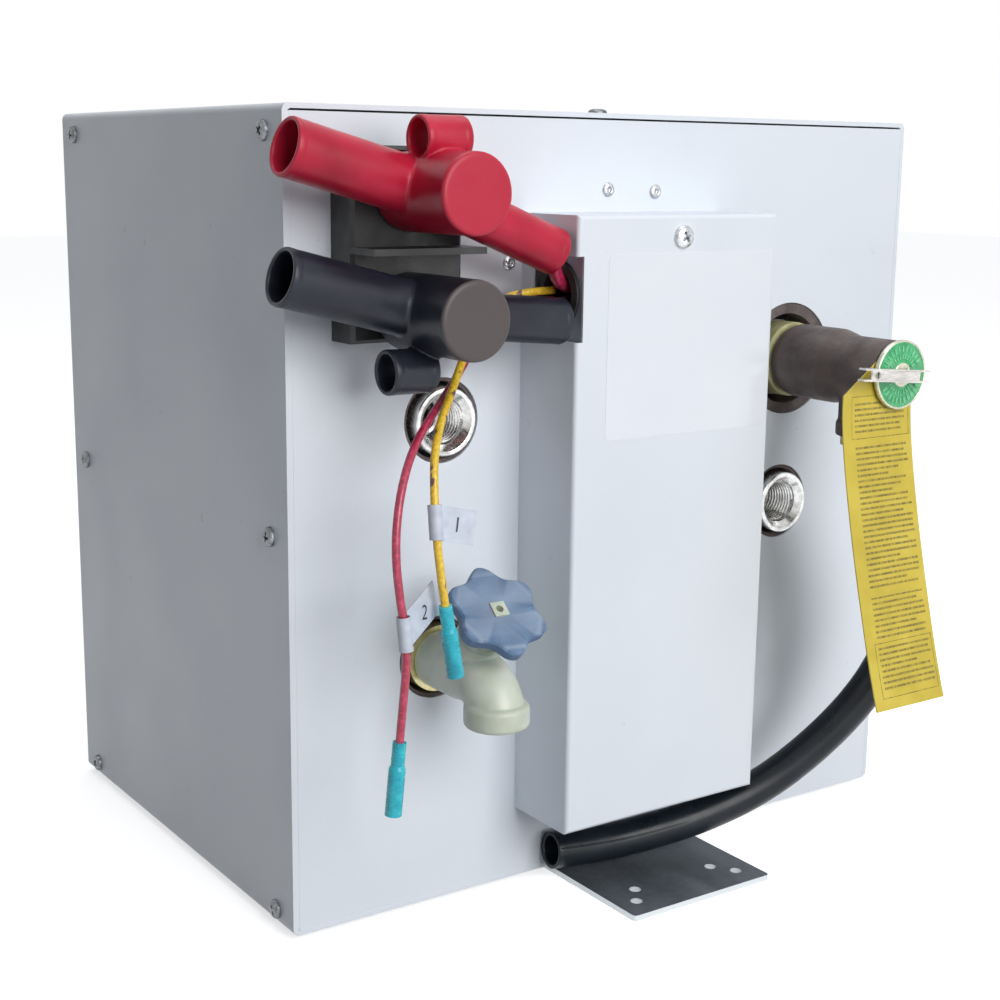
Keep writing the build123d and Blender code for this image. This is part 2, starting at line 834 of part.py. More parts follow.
with BuildPart() as element_gasket:
    turned(element_place, [
        (element_socket_bore, -element_socket_front), (element_flange, -element_socket_front),
        (element_flange, gasket_thick - element_socket_front),
        (element_socket_bore, gasket_thick - element_socket_front)])
element_gasket.part.label = "element_gasket"
export_step(element_gasket.part, "parts/element_gasket.step")

with BuildPart() as element_plug:
    hexagon(front_at(element_x, element_z, flange_front), element_flange, -element_flange_thick)
    disc(front_at(element_x, element_z, flange_front), element_socket_bore,
         -flange_front - element_plug_end)
    for side in (-1, 1):
        disc(front_at(element_x + side * element_leg_x, element_z, flange_front + overrun),
             element_rod, -flange_front - element_plug_end - 2 * overrun, mode=Mode.SUBTRACT)
element_plug.part.label = "element_plug"
export_step(element_plug.part, "parts/element_plug.step")

with BuildPart() as element_loop:
    leg_end = element_reach - element_leg_x
    with BuildLine() as loop_path:
        Line((element_x - element_leg_x, panel_y - flange_front, element_z),
             (element_x - element_leg_x, panel_y + leg_end, element_z))
        ThreePointArc((element_x - element_leg_x, panel_y + leg_end, element_z),
                      (element_x, panel_y + leg_end + element_leg_x, element_z),
                      (element_x + element_leg_x, panel_y + leg_end, element_z))
        Line((element_x + element_leg_x, panel_y + leg_end, element_z),
             (element_x + element_leg_x, panel_y - flange_front, element_z))
    with BuildSketch(front_at(element_x - element_leg_x, element_z, flange_front)) as rod_section:
        Circle(element_rod)
    sweep(rod_section.sketch, path=loop_path.wire())
    for side in (-1, 1):
        disc(front_at(element_x + side * element_leg_x, element_z, flange_front), element_post,
             element_post_out - flange_front)
        disc(front_at(element_x + side * element_leg_x, element_z, element_post_out),
             element_rod, -element_post)
element_loop.part.label = "element_loop"
export_step(element_loop.part, "parts/element_loop.step")

# Thermostat with its dial and reset button, strapped to the tank head
with BuildPart() as thermostat_body:
    slab(front_at(element_x, thermostat_middle_z, -thermostat_front), thermostat_width,
         thermostat_height, thermostat_front - tank_apex)
    chamfer(thermostat_body.faces().sort_by(Axis.Y)[0].edges(), thermostat_edge)
    disc(front_at(element_x, dial_z, -thermostat_front), dial_pin + running_gap, -dial_pin_deep,
         mode=Mode.SUBTRACT)
    disc(front_at(element_x, reset_z, -thermostat_front), reset_radius + running_gap,
         thermostat_front - reset_end - reset_room, mode=Mode.SUBTRACT)
thermostat_body.part.label = "thermostat_body"
export_step(thermostat_body.part, "parts/thermostat_body.step")

with BuildPart() as thermostat_dial:
    dial_place = front_at(element_x, dial_z, running_gap - thermostat_front)
    disc(dial_place, dial_radius, dial_thick)
    disc(dial_place, dial_pin, -dial_pin_deep + 2 * running_gap)
    slab(front_at(element_x, dial_z + dial_radius / 2, dial_thick - thermostat_front + running_gap),
         pointer_width, dial_radius, -pointer_deep, mode=Mode.SUBTRACT)
thermostat_dial.part.label = "thermostat_dial"
export_step(thermostat_dial.part, "parts/thermostat_dial.step")

with BuildPart() as reset_button:
    disc(front_at(element_x, reset_z, reset_out), reset_radius, -reset_out - reset_end)
reset_button.part.label = "reset_button"
export_step(reset_button.part, "parts/reset_button.step")

with BuildPart() as thermostat_bracket:
    strap_half = strap_span / 2
    slab(front_at(element_x, strap_z, strap_sheet - thermostat_front), strap_span, strap_width,
         -strap_sheet)
    for side in (-1, 1):
        leg_x = element_x + side * (strap_half - strap_sheet / 2)
        near_x = element_x + side * strap_half
        foot_back = head_depth(near_x - side * strap_sheet, strap_z + strap_width / 2)
        slab(front_at(leg_x, strap_z, strap_sheet - thermostat_front), strap_sheet, strap_width,
             thermostat_front - strap_sheet - foot_back)
        slab(front_at(near_x + side * strap_foot / 2, strap_z, -foot_back), strap_foot,
             strap_width, strap_sheet)
thermostat_bracket.part.label = "thermostat_bracket"
export_step(thermostat_bracket.part, "parts/thermostat_bracket.step")

# Wiring box behind the cover, its left wall carries the grommet
with BuildPart() as wiring_box:
    box_middle_x = (box_left + box_right) / 2
    box_middle_z = (box_low_z + box_top_z) / 2
    slab(front_at(box_middle_x, box_middle_z), box_right - box_left, box_top_z - box_low_z, box_out)
    slab(front_at(box_middle_x, box_middle_z, box_sheet), box_right - box_left - 2 * box_sheet,
         box_top_z - box_low_z - 2 * box_sheet, box_out, mode=Mode.SUBTRACT)
    tab_front = cover_out - cover_sheet
    slab(front_at(cover_screw_x, box_top_z - tab_high / 2, tab_front), tab_width, tab_high, -box_sheet)
    slab(front_at(cover_screw_x, box_top_z - box_sheet / 2, tab_front), tab_width, box_sheet,
         box_out - tab_front - box_sheet)
    disc(front_at(cover_screw_x, cover_screw_z, tab_front), cover_screw_shank, -box_sheet,
         mode=Mode.SUBTRACT)
    disc(side_at(box_left, grommet_z, grommet_out), grommet_hole, box_sheet, mode=Mode.SUBTRACT)
    slot_middle_x = (box_slot_left + box_slot_right) / 2
    slot_high = box_slot_front - box_slot_back
    with BuildSketch(Plane(origin=(slot_middle_x, panel_y - box_slot_back - slot_high / 2, box_low_z))):
        RectangleRounded(box_slot_right - box_slot_left, slot_high, notch_corner)
    extrude(amount=box_sheet, mode=Mode.SUBTRACT)
wiring_box.part.label = "wiring_box"
export_step(wiring_box.part, "parts/wiring_box.step")

# Access cover, a folded box with a notch for the leads
with BuildPart() as access_cover:
    cover_middle_x = (cover_left + cover_right) / 2
    cover_middle_z = (cover_low_z + cover_top_z) / 2
    slab(front_at(cover_middle_x, cover_middle_z), cover_right - cover_left,
         cover_top_z - cover_low_z, cover_out)
    fillet(access_cover.faces().sort_by(Axis.Y)[0].edges(), cover_bend)
    slab(front_at(cover_middle_x, cover_middle_z), cover_right - cover_left - 2 * cover_sheet,
         cover_top_z - cover_low_z - 2 * cover_sheet, cover_out - cover_sheet, mode=Mode.SUBTRACT)
    notch_deep = cover_out - notch_back + notch_corner
    with BuildSketch(side_at(cover_left - overrun, (notch_low_z + notch_top_z) / 2,
                             notch_back + notch_deep / 2)) as notch:
        RectangleRounded(notch_deep, notch_top_z - notch_low_z, notch_corner)
    extrude(amount=overrun + notch_wrap, mode=Mode.SUBTRACT)
    disc(front_at(cover_screw_x, cover_screw_z, cover_out + overrun),
         cover_screw_shank + running_gap, -2 * overrun - cover_sheet, mode=Mode.SUBTRACT)
access_cover.part.label = "access_cover"
export_step(access_cover.part, "parts/access_cover.step")

with BuildPart() as cover_screw:
    turned(front_at(cover_screw_x, cover_screw_z, cover_out), [
        (0, -cover_screw_length), (cover_screw_shank, -cover_screw_length + cover_screw_shank),
        (cover_screw_shank, 0), (cover_screw_head, 0), (cover_screw_head, cover_screw_high / 2),
        (cover_screw_head / 2, cover_screw_high), (0, cover_screw_high)])
cover_screw.part.label = "cover_screw"
export_step(cover_screw.part, "parts/cover_screw.step")

with BuildPart() as cable_grommet:
    turned(side_at(box_left, grommet_z, grommet_out), [
        (grommet_bore, -grommet_rim_thick), (grommet_rim, -grommet_rim_thick), (grommet_rim, 0),
        (grommet_hole, 0), (grommet_hole, box_sheet), (grommet_rim, box_sheet),
        (grommet_rim, box_sheet + grommet_rim_thick), (grommet_bore, box_sheet + grommet_rim_thick)])
cable_grommet.part.label = "cable_grommet"
export_step(cable_grommet.part, "parts/cable_grommet.step")

# Supply terminal block with two studs
stud_heights = (red_stud_z, black_stud_z)

with BuildPart() as terminal_block:
    block_middle_x = (block_left + block_right) / 2
    slab(front_at(block_middle_x, (block_low_z + block_top_z) / 2), block_right - block_left,
         block_top_z - block_low_z, block_out)
    chamfer(terminal_block.faces().sort_by(Axis.Y)[0].edges(), block_edge)
    slab(front_at(block_middle_x, fin_z), block_right - block_left, fin_thick, fin_out)
    for z in stud_heights:
        disc(front_at(stud_x, z), stud_boss, stud_boss_out)
        disc(front_at(stud_x, z, stud_back), stud_radius, stud_boss_out, mode=Mode.SUBTRACT)
terminal_block.part.label = "terminal_block"
export_step(terminal_block.part, "parts/terminal_block.step")

with BuildPart() as terminal_studs:
    for z in stud_heights:
        turned(front_at(stud_x, z), [
            (0, stud_back), (stud_radius, stud_back), (stud_radius, stud_out - stud_edge),
            (stud_radius - stud_edge, stud_out), (0, stud_out)])
terminal_studs.part.label = "terminal_studs"
export_step(terminal_studs.part, "parts/terminal_studs.step")

lug_back = stud_boss_out + nut_thick

with BuildPart() as stud_nuts:
    for z in stud_heights:
        for nut_back in (stud_boss_out, lug_back + lug_thick):
            with BuildSketch(front_at(stud_x, z, nut_back)) as nut_outline:
                RegularPolygon(nut_flats, 6, major_radius=False)
                Circle(stud_radius, mode=Mode.SUBTRACT)
            extrude(amount=nut_thick)
stud_nuts.part.label = "stud_nuts"
export_step(stud_nuts.part, "parts/stud_nuts.step")


def aim(stud_z, end):
    """Unit direction in the front plane from a stud towards a boot tube end."""
    reach = hypot(end[0] - stud_x, end[1] - stud_z)
    return (end[0] - stud_x) / reach, (end[1] - stud_z) / reach


def along(stud_z, end, distance, out):
    """Plane on a tube axis, z pointing from the stud towards the tube end."""
    way = aim(stud_z, end)
    return Plane(origin=(stud_x + distance * way[0], panel_y - out, stud_z + distance * way[1]),
                 x_dir=(0, 1, 0), z_dir=(way[0], 0, way[1]))


lead_out = lug_back + lug_barrel
lead_ends = ((red_stud_z, red_right_end), (black_stud_z, black_right_end))

with BuildPart() as lead_lugs:
    for z, end in lead_ends:
        way = aim(z, end)
        turn_angle = degrees(atan2(way[1], way[0]))
        with BuildSketch(front_at(stud_x, z, lug_back)) as lug_plate:
            Circle(lug_ring)
            with Locations(Rot(0, 0, turn_angle)):
                with Locations((lug_start / 2 + lug_barrel / 2, 0)):
                    Rectangle(lug_start + lug_barrel, lug_barrel)
            Circle(stud_radius, mode=Mode.SUBTRACT)
        extrude(amount=lug_thick)
        disc(along(z, end, lug_start, lead_out), lug_barrel, lug_end - lug_start)
        disc(along(z, end, lead_seat, lead_out), lead_radius, lug_end, mode=Mode.SUBTRACT)
lead_lugs.part.label = "lead_lugs"
export_step(lead_lugs.part, "parts/lead_lugs.step")


def boot(stud_z, left_end, right_end, loop_x, loop_z, loop_out):
    """Moulded boot: a capped hub over the stud, two open tubes and a loop."""
    loop_place = side_at(loop_x - loop_width / 2, loop_z, loop_out)
    disc(loop_place, loop_radius, loop_width)
    disc(loop_place, loop_radius - loop_wall, loop_width, mode=Mode.SUBTRACT)
    turned(front_at(stud_x, stud_z), [
        (0, boot_back), (boot_hub, boot_back), (boot_hub, boot_front - boot_edge),
        (boot_hub - boot_edge, boot_front), (0, boot_front)])
    ends = ((left_end, left_tube), (right_end, right_tube))
    for end, radius in ends:
        reach = hypot(end[0] - stud_x, end[1] - stud_z)
        disc(along(stud_z, end, 0, boot_tube_out), radius, reach)
    disc(front_at(stud_x, stud_z, boot_back), boot_hub - boot_wall,
         boot_front - boot_back - boot_wall, mode=Mode.SUBTRACT)
    for end, radius in ends:
        reach = hypot(end[0] - stud_x, end[1] - stud_z)
        disc(along(stud_z, end, 0, boot_tube_out), radius - boot_wall, reach + overrun,
             mode=Mode.SUBTRACT)


# Soft boots over the studs
with BuildPart() as red_terminal_boot:
    boot(red_stud_z, red_left_end, red_right_end, red_loop_x, red_loop_z, red_loop_out)
red_terminal_boot.part.label = "red_terminal_boot"
export_step(red_terminal_boot.part, "parts/red_terminal_boot.step")

with BuildPart() as black_terminal_boot:
    boot(black_stud_z, black_left_end, black_right_end, black_loop_x, black_loop_z, black_loop_out)
black_terminal_boot.part.label = "black_terminal_boot"
export_step(black_terminal_boot.part, "parts/black_terminal_boot.step")


def lead_points(stud_z, end, rest):
    """Route of a power lead, its first run straight out of the lug."""
    way = aim(stud_z, end)
    start, corner = [(stud_x + reach * way[0], panel_y - lead_out, stud_z + reach * way[1])
                     for reach in (lead_seat, lead_run)]
    return [start, corner] + rest


# Power leads from the lugs through the grommet to the thermostat
with BuildPart() as red_power_lead:
    laid("red_power_lead", lead_points(red_stud_z, red_right_end, red_lead_route), lead_radius)
red_power_lead.part.label = "red_power_lead"
export_step(red_power_lead.part, "parts/red_power_lead.step")

with BuildPart() as black_power_lead:
    laid("black_power_lead", lead_points(black_stud_z, black_right_end, black_lead_route),
         lead_radius)
black_power_lead.part.label = "black_power_lead"
export_step(black_power_lead.part, "parts/black_power_lead.step")

# Thin leads inside the box, to the thermostat and from it to the element
with BuildPart() as inner_leads:
    laid("yellow_inner", yellow_inner_route, wire_radius)
    laid("red_inner", red_inner_route, wire_radius)
    laid("element_lead", element_lead_route, element_lead_radius)
    laid("element_lead_two", [(2 * element_x - x, y, z) for x, y, z in element_lead_route],
         element_lead_radius)
inner_leads.part.label = "inner_leads"
export_step(inner_leads.part, "parts/inner_leads.step")

# Loose wires that leave the grommet
with BuildPart() as yellow_light_wire:
    laid("yellow_light_wire", yellow_route, wire_radius)
yellow_light_wire.part.label = "yellow_light_wire"
export_step(yellow_light_wire.part, "parts/yellow_light_wire.step")

with BuildPart() as red_switch_wire:
    laid("red_switch_wire", red_route, wire_radius)
red_switch_wire.part.label = "red_switch_wire"
export_step(red_switch_wire.part, "parts/red_switch_wire.step")


def connector(route):
    """Insulated crimp connector on the end of a wire."""
    end = Vector(*route[-1])
    way = (end - Vector(*route[-2])).normalized()
    place = Plane(origin=end, x_dir=way.cross(Vector(0, 1, 0)).normalized(), z_dir=way)
    turned(place, [
        (wire_radius, -connector_seat), (connector_neck, -connector_seat),
        (connector_neck, connector_neck_long - connector_seat),
        (connector_mouth, connector_neck_long), (connector_mouth, connector_length),
        (connector_bore, connector_length), (connector_bore, connector_length - connector_bore_deep),
        (0, connector_length - connector_bore_deep), (0, 0), (wire_radius, 0)])


with BuildPart() as yellow_wire_connector:
    connector(yellow_route)
yellow_wire_connector.part.label = "yellow_wire_connector"
export_step(yellow_wire_connector.part, "parts/yellow_wire_connector.step")

with BuildPart() as red_wire_connector:
    connector(red_route)
red_wire_connector.part.label = "red_wire_connector"
export_step(red_wire_connector.part, "parts/red_wire_connector.step")


def flag(route, share, tilt, swing, reach):
    """Sleeve of tape round a wire with its two ends stuck together as a flag."""
    path = route_path(route)
    way = path % share
    level = Plane(origin=path @ share, x_dir=way.cross(Vector(0, 1, 0)).normalized(), z_dir=-way)
    with BuildSketch(level) as sleeve:
        Circle(flag_ring + flag_thick)
    extrude(sleeve.sketch, amount=flag_high / 2, both=True)
    outward = level.x_dir * cos(radians(swing)) + level.y_dir * sin(radians(swing))
    leaf = Plane(origin=path @ share, x_dir=outward * cos(radians(tilt)) - way * sin(radians(tilt)),
                 z_dir=level.y_dir * cos(radians(swing)) - level.x_dir * sin(radians(swing)))
    with BuildSketch(leaf) as tape:
        with Locations(((flag_ring + reach) / 2, 0)):
            Rectangle(flag_ring + reach, flag_high)
    extrude(tape.sketch, amount=flag_thick / 2, both=True)
    with BuildSketch(level) as passage:
        Circle(flag_ring)
    extrude(passage.sketch, amount=flag_high, both=True, mode=Mode.SUBTRACT)


with BuildPart() as yellow_wire_flag:
    flag(yellow_route, yellow_flag_share, yellow_flag_tilt, yellow_flag_swing, yellow_flag_long)
yellow_wire_flag.part.label = "yellow_wire_flag"
export_step(yellow_wire_flag.part, "parts/yellow_wire_flag.step")

with BuildPart() as red_wire_flag:
    flag(red_route, red_flag_share, red_flag_tilt, red_flag_swing, red_flag_long)
red_wire_flag.part.label = "red_wire_flag"
export_step(red_wire_flag.part, "parts/red_wire_flag.step")

# Drain valve: brass bush in the socket, nylon body, bonnet, spindle, washer and knob
drain_place = front_at(drain_x, drain_z)


def drain_stem(reach):
    """Plane on the tilted stem axis, z pointing up and out along the stem."""
    return Plane(origin=(drain_x, panel_y - drain_hub_out - reach * cos_tilt, drain_z + reach * sin_tilt),
                 x_dir=(1, 0, 0), z_dir=(0, -cos_tilt, sin_tilt))


with BuildPart() as drain_bush:
    turned(drain_place, [
        (drain_spigot, drain_bush_out), (drain_bush_radius, drain_bush_out),
        (drain_bush_radius, -drain_socket_front), (port_thread, -drain_socket_front),
        (port_thread, -drain_bush_end), (drain_bush_bore, -drain_bush_end),
        (drain_bush_bore, -drain_spigot_deep), (drain_spigot, -drain_spigot_deep)])
drain_bush.part.label = "drain_bush"
export_step(drain_bush.part, "parts/drain_bush.step")


def drain_way(start_out, radius, end_z, mode):
    """Round passage or wall that runs forward and bends down into the spout."""
    with BuildLine() as route:
        FilletPolyline((drain_x, panel_y - start_out, drain_z),
                       (drain_x, panel_y - drain_spout_out, drain_z),
                       (drain_x, panel_y - drain_spout_out, end_z), radius=drain_spout_bend)
    path = route.wire()
    with BuildSketch(Plane(origin=path @ 0, z_dir=path % 0)) as section:
        Circle(radius)
    sweep(section.sketch, path=path, mode=mode)


with BuildPart() as drain_body:
    drain_way(drain_bush_out, drain_elbow, drain_mouth_z, Mode.ADD)
    disc(drain_place.offset(drain_bush_out), drain_barrel, drain_outlet_out)
    disc(drain_place.offset(-drain_spigot_deep), drain_spigot, drain_spigot_deep + drain_bush_out)
    turned(Plane(origin=(drain_x, panel_y - drain_spout_out, drain_mouth_z), x_dir=(1, 0, 0), z_dir=(0, 0, 1)),
           [(0, 0), (drain_collar - drain_collar_edge, 0), (drain_collar, drain_collar_edge),
            (drain_collar, drain_collar_high - drain_collar_edge),
            (drain_collar - drain_collar_edge, drain_collar_high), (0, drain_collar_high)])
    disc(drain_stem(drain_seat), drain_neck, drain_neck_end - drain_seat)
    disc(drain_place.offset(-drain_spigot_deep - overrun), drain_inlet_bore,
         drain_spigot_deep + overrun + drain_inlet_out, mode=Mode.SUBTRACT)
    disc(drain_stem(drain_seat), drain_seat_bore, -drain_seat_deep - drain_seat, mode=Mode.SUBTRACT)
    disc(drain_stem(drain_seat), drain_room, drain_neck_end - drain_seat + overrun, mode=Mode.SUBTRACT)
    drain_way(drain_outlet_out, drain_outlet_bore, drain_mouth_z - overrun, Mode.SUBTRACT)
drain_body.part.label = "drain_body"
export_step(drain_body.part, "parts/drain_body.step")

with BuildPart() as drain_bonnet:
    disc(drain_stem(drain_neck_end), bonnet_radius, bonnet_rim)
    hexagon(drain_stem(drain_neck_end + bonnet_rim), bonnet_flats,
            bonnet_end - drain_neck_end - bonnet_rim)
    disc(drain_stem(drain_neck_end), drain_room, -bonnet_plug_deep)
    disc(drain_stem(drain_neck_end - bonnet_plug_deep), spindle_radius + running_gap,
         bonnet_end - drain_neck_end + bonnet_plug_deep, mode=Mode.SUBTRACT)
drain_bonnet.part.label = "drain_bonnet"
export_step(drain_bonnet.part, "parts/drain_bonnet.step")

with BuildPart() as drain_washer:
    disc(drain_stem(drain_seat), washer_radius, washer_thick)
drain_washer.part.label = "drain_washer"
export_step(drain_washer.part, "parts/drain_washer.step")

with BuildPart() as drain_spindle:
    spindle_start = drain_seat + washer_thick
    disc(drain_stem(spindle_start), spindle_flange, spindle_flange_thick)
    disc(drain_stem(spindle_start), spindle_radius, spindle_step - spindle_start)
    slab(drain_stem(spindle_step), spindle_square, spindle_square, spindle_end - spindle_step)
    disc(drain_stem(spindle_end), spindle_pit, -spindle_pit_deep, mode=Mode.SUBTRACT)
drain_spindle.part.label = "drain_spindle"
export_step(drain_spindle.part, "parts/drain_spindle.step")

with BuildPart() as drain_knob:
    with BuildSketch(drain_stem(knob_face)) as knob_outline:
        with BuildLine():
            lobes = []
            for step in range(knob_points):
                angle = 2 * pi * step / knob_points
                middle = (knob_tip + knob_valley) / 2
                swing = (knob_tip - knob_valley) / 2
                radius = middle + swing * cos(knob_lobes * (angle - radians(knob_first_tip)))
                lobes.append((radius * cos(angle), radius * sin(angle)))
            Spline(*lobes, periodic=True)
        make_face()
    extrude(amount=-knob_thick)
    chamfer(drain_knob.faces().sort_by(Axis((0, 0, 0), (0, -cos_tilt, sin_tilt)))[-1].edges(), knob_edge)
    disc(drain_stem(knob_face - knob_web), knob_valley - knob_skirt, -knob_thick, mode=Mode.SUBTRACT)
    disc(drain_stem(knob_face - knob_web), knob_hub, knob_hub_back - knob_face + knob_web)
    slab(drain_stem(knob_face + overrun), spindle_square, spindle_square,
         knob_hub_back - knob_face - 2 * overrun, mode=Mode.SUBTRACT)
drain_knob.part.label = "drain_knob"
export_step(drain_knob.part, "parts/drain_knob.step")

# Temperature and pressure relief valve on a brass nipple
with BuildPart() as relief_nipple:
    turned(front_at(relief_x, relief_z), [
        (nipple_bore, -nipple_end), (nipple_radius, -nipple_end), (nipple_radius, nipple_out),
        (nipple_bore, nipple_out)])
relief_nipple.part.label = "relief_nipple"
export_step(relief_nipple.part, "parts/relief_nipple.step")

outlet_place = Plane(origin=(relief_x, panel_y - outlet_out, outlet_low_z), x_dir=(1, 0, 0), z_dir=(0, 0, 1))

with BuildPart() as relief_body:
    turned(front_at(relief_x, relief_z), [
        (0, valve_back), (valve_back_radius, valve_back), (bulb_radius, bulb_start),
        (bulb_radius, bulb_end), (neck_radius, neck_start), (neck_radius, neck_end - neck_edge),
        (neck_radius - neck_edge, neck_end), (boss_radius, neck_end), (boss_radius, cap_back),
        (0, cap_back)])
    turned(outlet_place, [
        (0, 0), (outlet_lip, 0), (outlet_lip, outlet_lip_high), (outlet_radius, outlet_lip_high + neck_edge),
        (outlet_radius, relief_z - outlet_low_z), (0, relief_z - outlet_low_z)])
    turned(front_at(relief_x, relief_z), [
        (0, valve_back - overrun), (nipple_radius, valve_back - overrun), (nipple_radius, nipple_out),
        (nipple_bore, nipple_out), (nipple_bore, valve_seat_out - disc_thick),
        (valve_seat_bore, valve_seat_out - disc_thick), (valve_seat_bore, valve_seat_out),
        (valve_room, valve_seat_out), (valve_room, valve_room_end),
        (stem_radius + stem_gap, valve_room_end), (stem_radius + stem_gap, cap_back + overrun),
        (0, cap_back + overrun)], mode=Mode.SUBTRACT)
    disc(outlet_place, outlet_thread, relief_z - outlet_low_z, mode=Mode.SUBTRACT)
relief_body.part.label = "relief_body"
export_step(relief_body.part, "parts/relief_body.step")

with BuildPart() as relief_stem:
    turned(front_at(relief_x, relief_z), [
        (0, -probe_end), (probe_radius, -probe_end), (probe_radius, valve_seat_out),
        (disc_radius, valve_seat_out), (disc_radius, valve_seat_out + disc_thick),
        (stem_radius, valve_seat_out + disc_thick), (stem_radius, stem_out), (0, stem_out)])
    disc(Plane(origin=(relief_x, panel_y - lever_pin_out, relief_z - stem_radius - overrun)),
         lever_pin_radius, 2 * stem_radius + 2 * overrun, mode=Mode.SUBTRACT)
relief_stem.part.label = "relief_stem"
export_step(relief_stem.part, "parts/relief_stem.step")

with BuildPart() as relief_spring:
    spring_start = valve_seat_out + disc_thick + spring_gap + spring_wire
    spring_length = valve_room_end - spring_start - spring_gap - spring_wire
    coil = Helix(spring_length / spring_turns_share, spring_length, spring_coil,
                 center=(relief_x, panel_y - spring_start, relief_z), direction=(0, -1, 0),
                 mode=Mode.PRIVATE)
    with BuildSketch(Plane(origin=coil @ 0, z_dir=coil % 0)) as wire_section:
        Circle(spring_wire)
    sweep(wire_section.sketch, path=coil, is_frenet=True)
relief_spring.part.label = "relief_spring"
export_step(relief_spring.part, "parts/relief_spring.step")

with BuildPart() as relief_cap:
    turned(front_at(relief_x, relief_z), [
        (stem_radius + stem_gap, cap_back), (cap_radius - cap_edge, cap_back),
        (cap_radius, cap_back + cap_edge), (cap_radius, cap_front - cap_edge),
        (cap_radius - cap_edge, cap_front), (stem_radius + stem_gap, cap_front)])
relief_cap.part.label = "relief_cap"
export_step(relief_cap.part, "parts/relief_cap.step")

with BuildPart() as relief_lever:
    lever_middle_x = relief_x + (lever_right - lever_left) / 2
    slab(front_at(lever_middle_x, relief_z, lever_front), lever_left + lever_right, 2 * lever_half,
         lever_back - lever_front)
    slab(front_at(relief_x + (lever_prong - lever_left) / 2, relief_z, lever_front),
         lever_left + lever_prong, 2 * lever_half, lever_pin_out - lever_front)
    slab(front_at(relief_x, relief_z, lever_front - lever_sheet), 2 * lever_left + overrun,
         2 * lever_half - 2 * lever_sheet, lever_back - lever_front, mode=Mode.SUBTRACT)
    slab(front_at(relief_x + lever_right + lever_prong / 2 - lever_slot_left, relief_z, lever_front),
         lever_prong, 2 * lever_half - 2 * lever_sheet, lever_back - lever_front, mode=Mode.SUBTRACT)
    disc(front_at(relief_x - lever_eye_x, relief_z, lever_front), lever_eye, -lever_sheet,
         mode=Mode.SUBTRACT)
    disc(Plane(origin=(relief_x, panel_y - lever_pin_out, relief_z - lever_half)),
         lever_pin_radius, 2 * lever_half, mode=Mode.SUBTRACT)
relief_lever.part.label = "relief_lever"
export_step(relief_lever.part, "parts/relief_lever.step")

with BuildPart() as lever_pin:
    disc(Plane(origin=(relief_x, panel_y - lever_pin_out, relief_z - lever_half - lever_sheet / 2)),
         lever_pin_radius, 2 * lever_half + lever_sheet)
lever_pin.part.label = "lever_pin"
export_step(lever_pin.part, "parts/lever_pin.step")

with BuildPart() as hose_barb:
    turned(outlet_place, [
        (barb_bore, barb_thread_high), (outlet_thread, barb_thread_high), (outlet_thread, 0),
        (barb_flange, 0), (barb_flange, -barb_flange_high), (barb_tail, -barb_flange_high),
        (barb_tail, -barb_flange_high - barb_tail_high), (barb_bore, -barb_flange_high - barb_tail_high)])
hose_barb.part.label = "hose_barb"
export_step(hose_barb.part, "parts/hose_barb.step")

# Discharge hose, pushed on the barb and hanging to the front of the rail
with BuildPart() as discharge_hose:
    laid("discharge_hose", hose_route, hose_radius, hose_bore)
discharge_hose.part.label = "discharge_hose"
export_step(discharge_hose.part, "parts/discharge_hose.step")

# Card tag held between the valve bonnet and its cap
with BuildPart() as hang_tag:
    tag_side = Plane(origin=(tag_middle_x - tag_width / 2, panel_y - tag_back, 0), x_dir=(0, -1, 0),
                     z_dir=(-1, 0, 0))
    with BuildSketch(tag_side) as tag_profile:
        with BuildLine():
            back_line = [(swing, z) for swing, z in tag_curve]
            front_line = [(swing + tag_thick, z) for swing, z in tag_curve]
            Spline(*back_line[1:], tangents=[tag_top_lean, tag_low_lean])
            Spline(*front_line[1:], tangents=[tag_top_lean, tag_low_lean])
            Polyline(back_line[1], back_line[0], front_line[0], front_line[1])
            Line(back_line[-1], front_line[-1])
        make_face()
    extrude(amount=-tag_width)
    for side in (-1, 1):
        with BuildSketch(front_at(tag_middle_x + side * tag_width / 2, tag_top_z, tag_back - overrun)):
            with BuildLine():
                Polyline((0, 0), (-side * tag_corner_wide, 0), (0, -tag_corner_high), close=True)
            make_face()
        extrude(amount=2 * overrun + tag_thick, mode=Mode.SUBTRACT)
    disc(front_at(relief_x, relief_z, tag_back - overrun), tag_hole, 2 * overrun + tag_thick,
         mode=Mode.SUBTRACT)
hang_tag.part.label = "hang_tag"
export_step(hang_tag.part, "parts/hang_tag.step")
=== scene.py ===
"""Dressed scene of a caravan water heater, in metres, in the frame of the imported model.

The front of the box faces -Y, X runs to the right seen from the front and Z is up.
Sizes inside the sections are millimetres and are scaled where a mesh is made.
"""

from math import cos, pi, radians, sin

import bmesh
import bpy
from mathutils import Matrix, Vector


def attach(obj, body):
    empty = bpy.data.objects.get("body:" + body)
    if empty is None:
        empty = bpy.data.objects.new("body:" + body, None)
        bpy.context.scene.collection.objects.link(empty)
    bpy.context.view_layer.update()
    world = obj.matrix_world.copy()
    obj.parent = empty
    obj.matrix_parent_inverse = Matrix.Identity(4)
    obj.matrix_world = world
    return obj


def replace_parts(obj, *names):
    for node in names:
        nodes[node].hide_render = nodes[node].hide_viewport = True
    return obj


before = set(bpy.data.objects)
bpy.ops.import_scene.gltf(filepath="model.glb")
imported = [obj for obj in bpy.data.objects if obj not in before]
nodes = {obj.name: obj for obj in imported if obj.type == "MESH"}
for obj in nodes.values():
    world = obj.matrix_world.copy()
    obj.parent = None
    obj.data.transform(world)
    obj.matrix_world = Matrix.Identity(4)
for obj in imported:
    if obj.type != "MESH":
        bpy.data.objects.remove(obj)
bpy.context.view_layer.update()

# Camera at the photograph's place and angle, found from the corners of the painted box.
camera_place = (-0.4464, -0.6675, 0.3109)
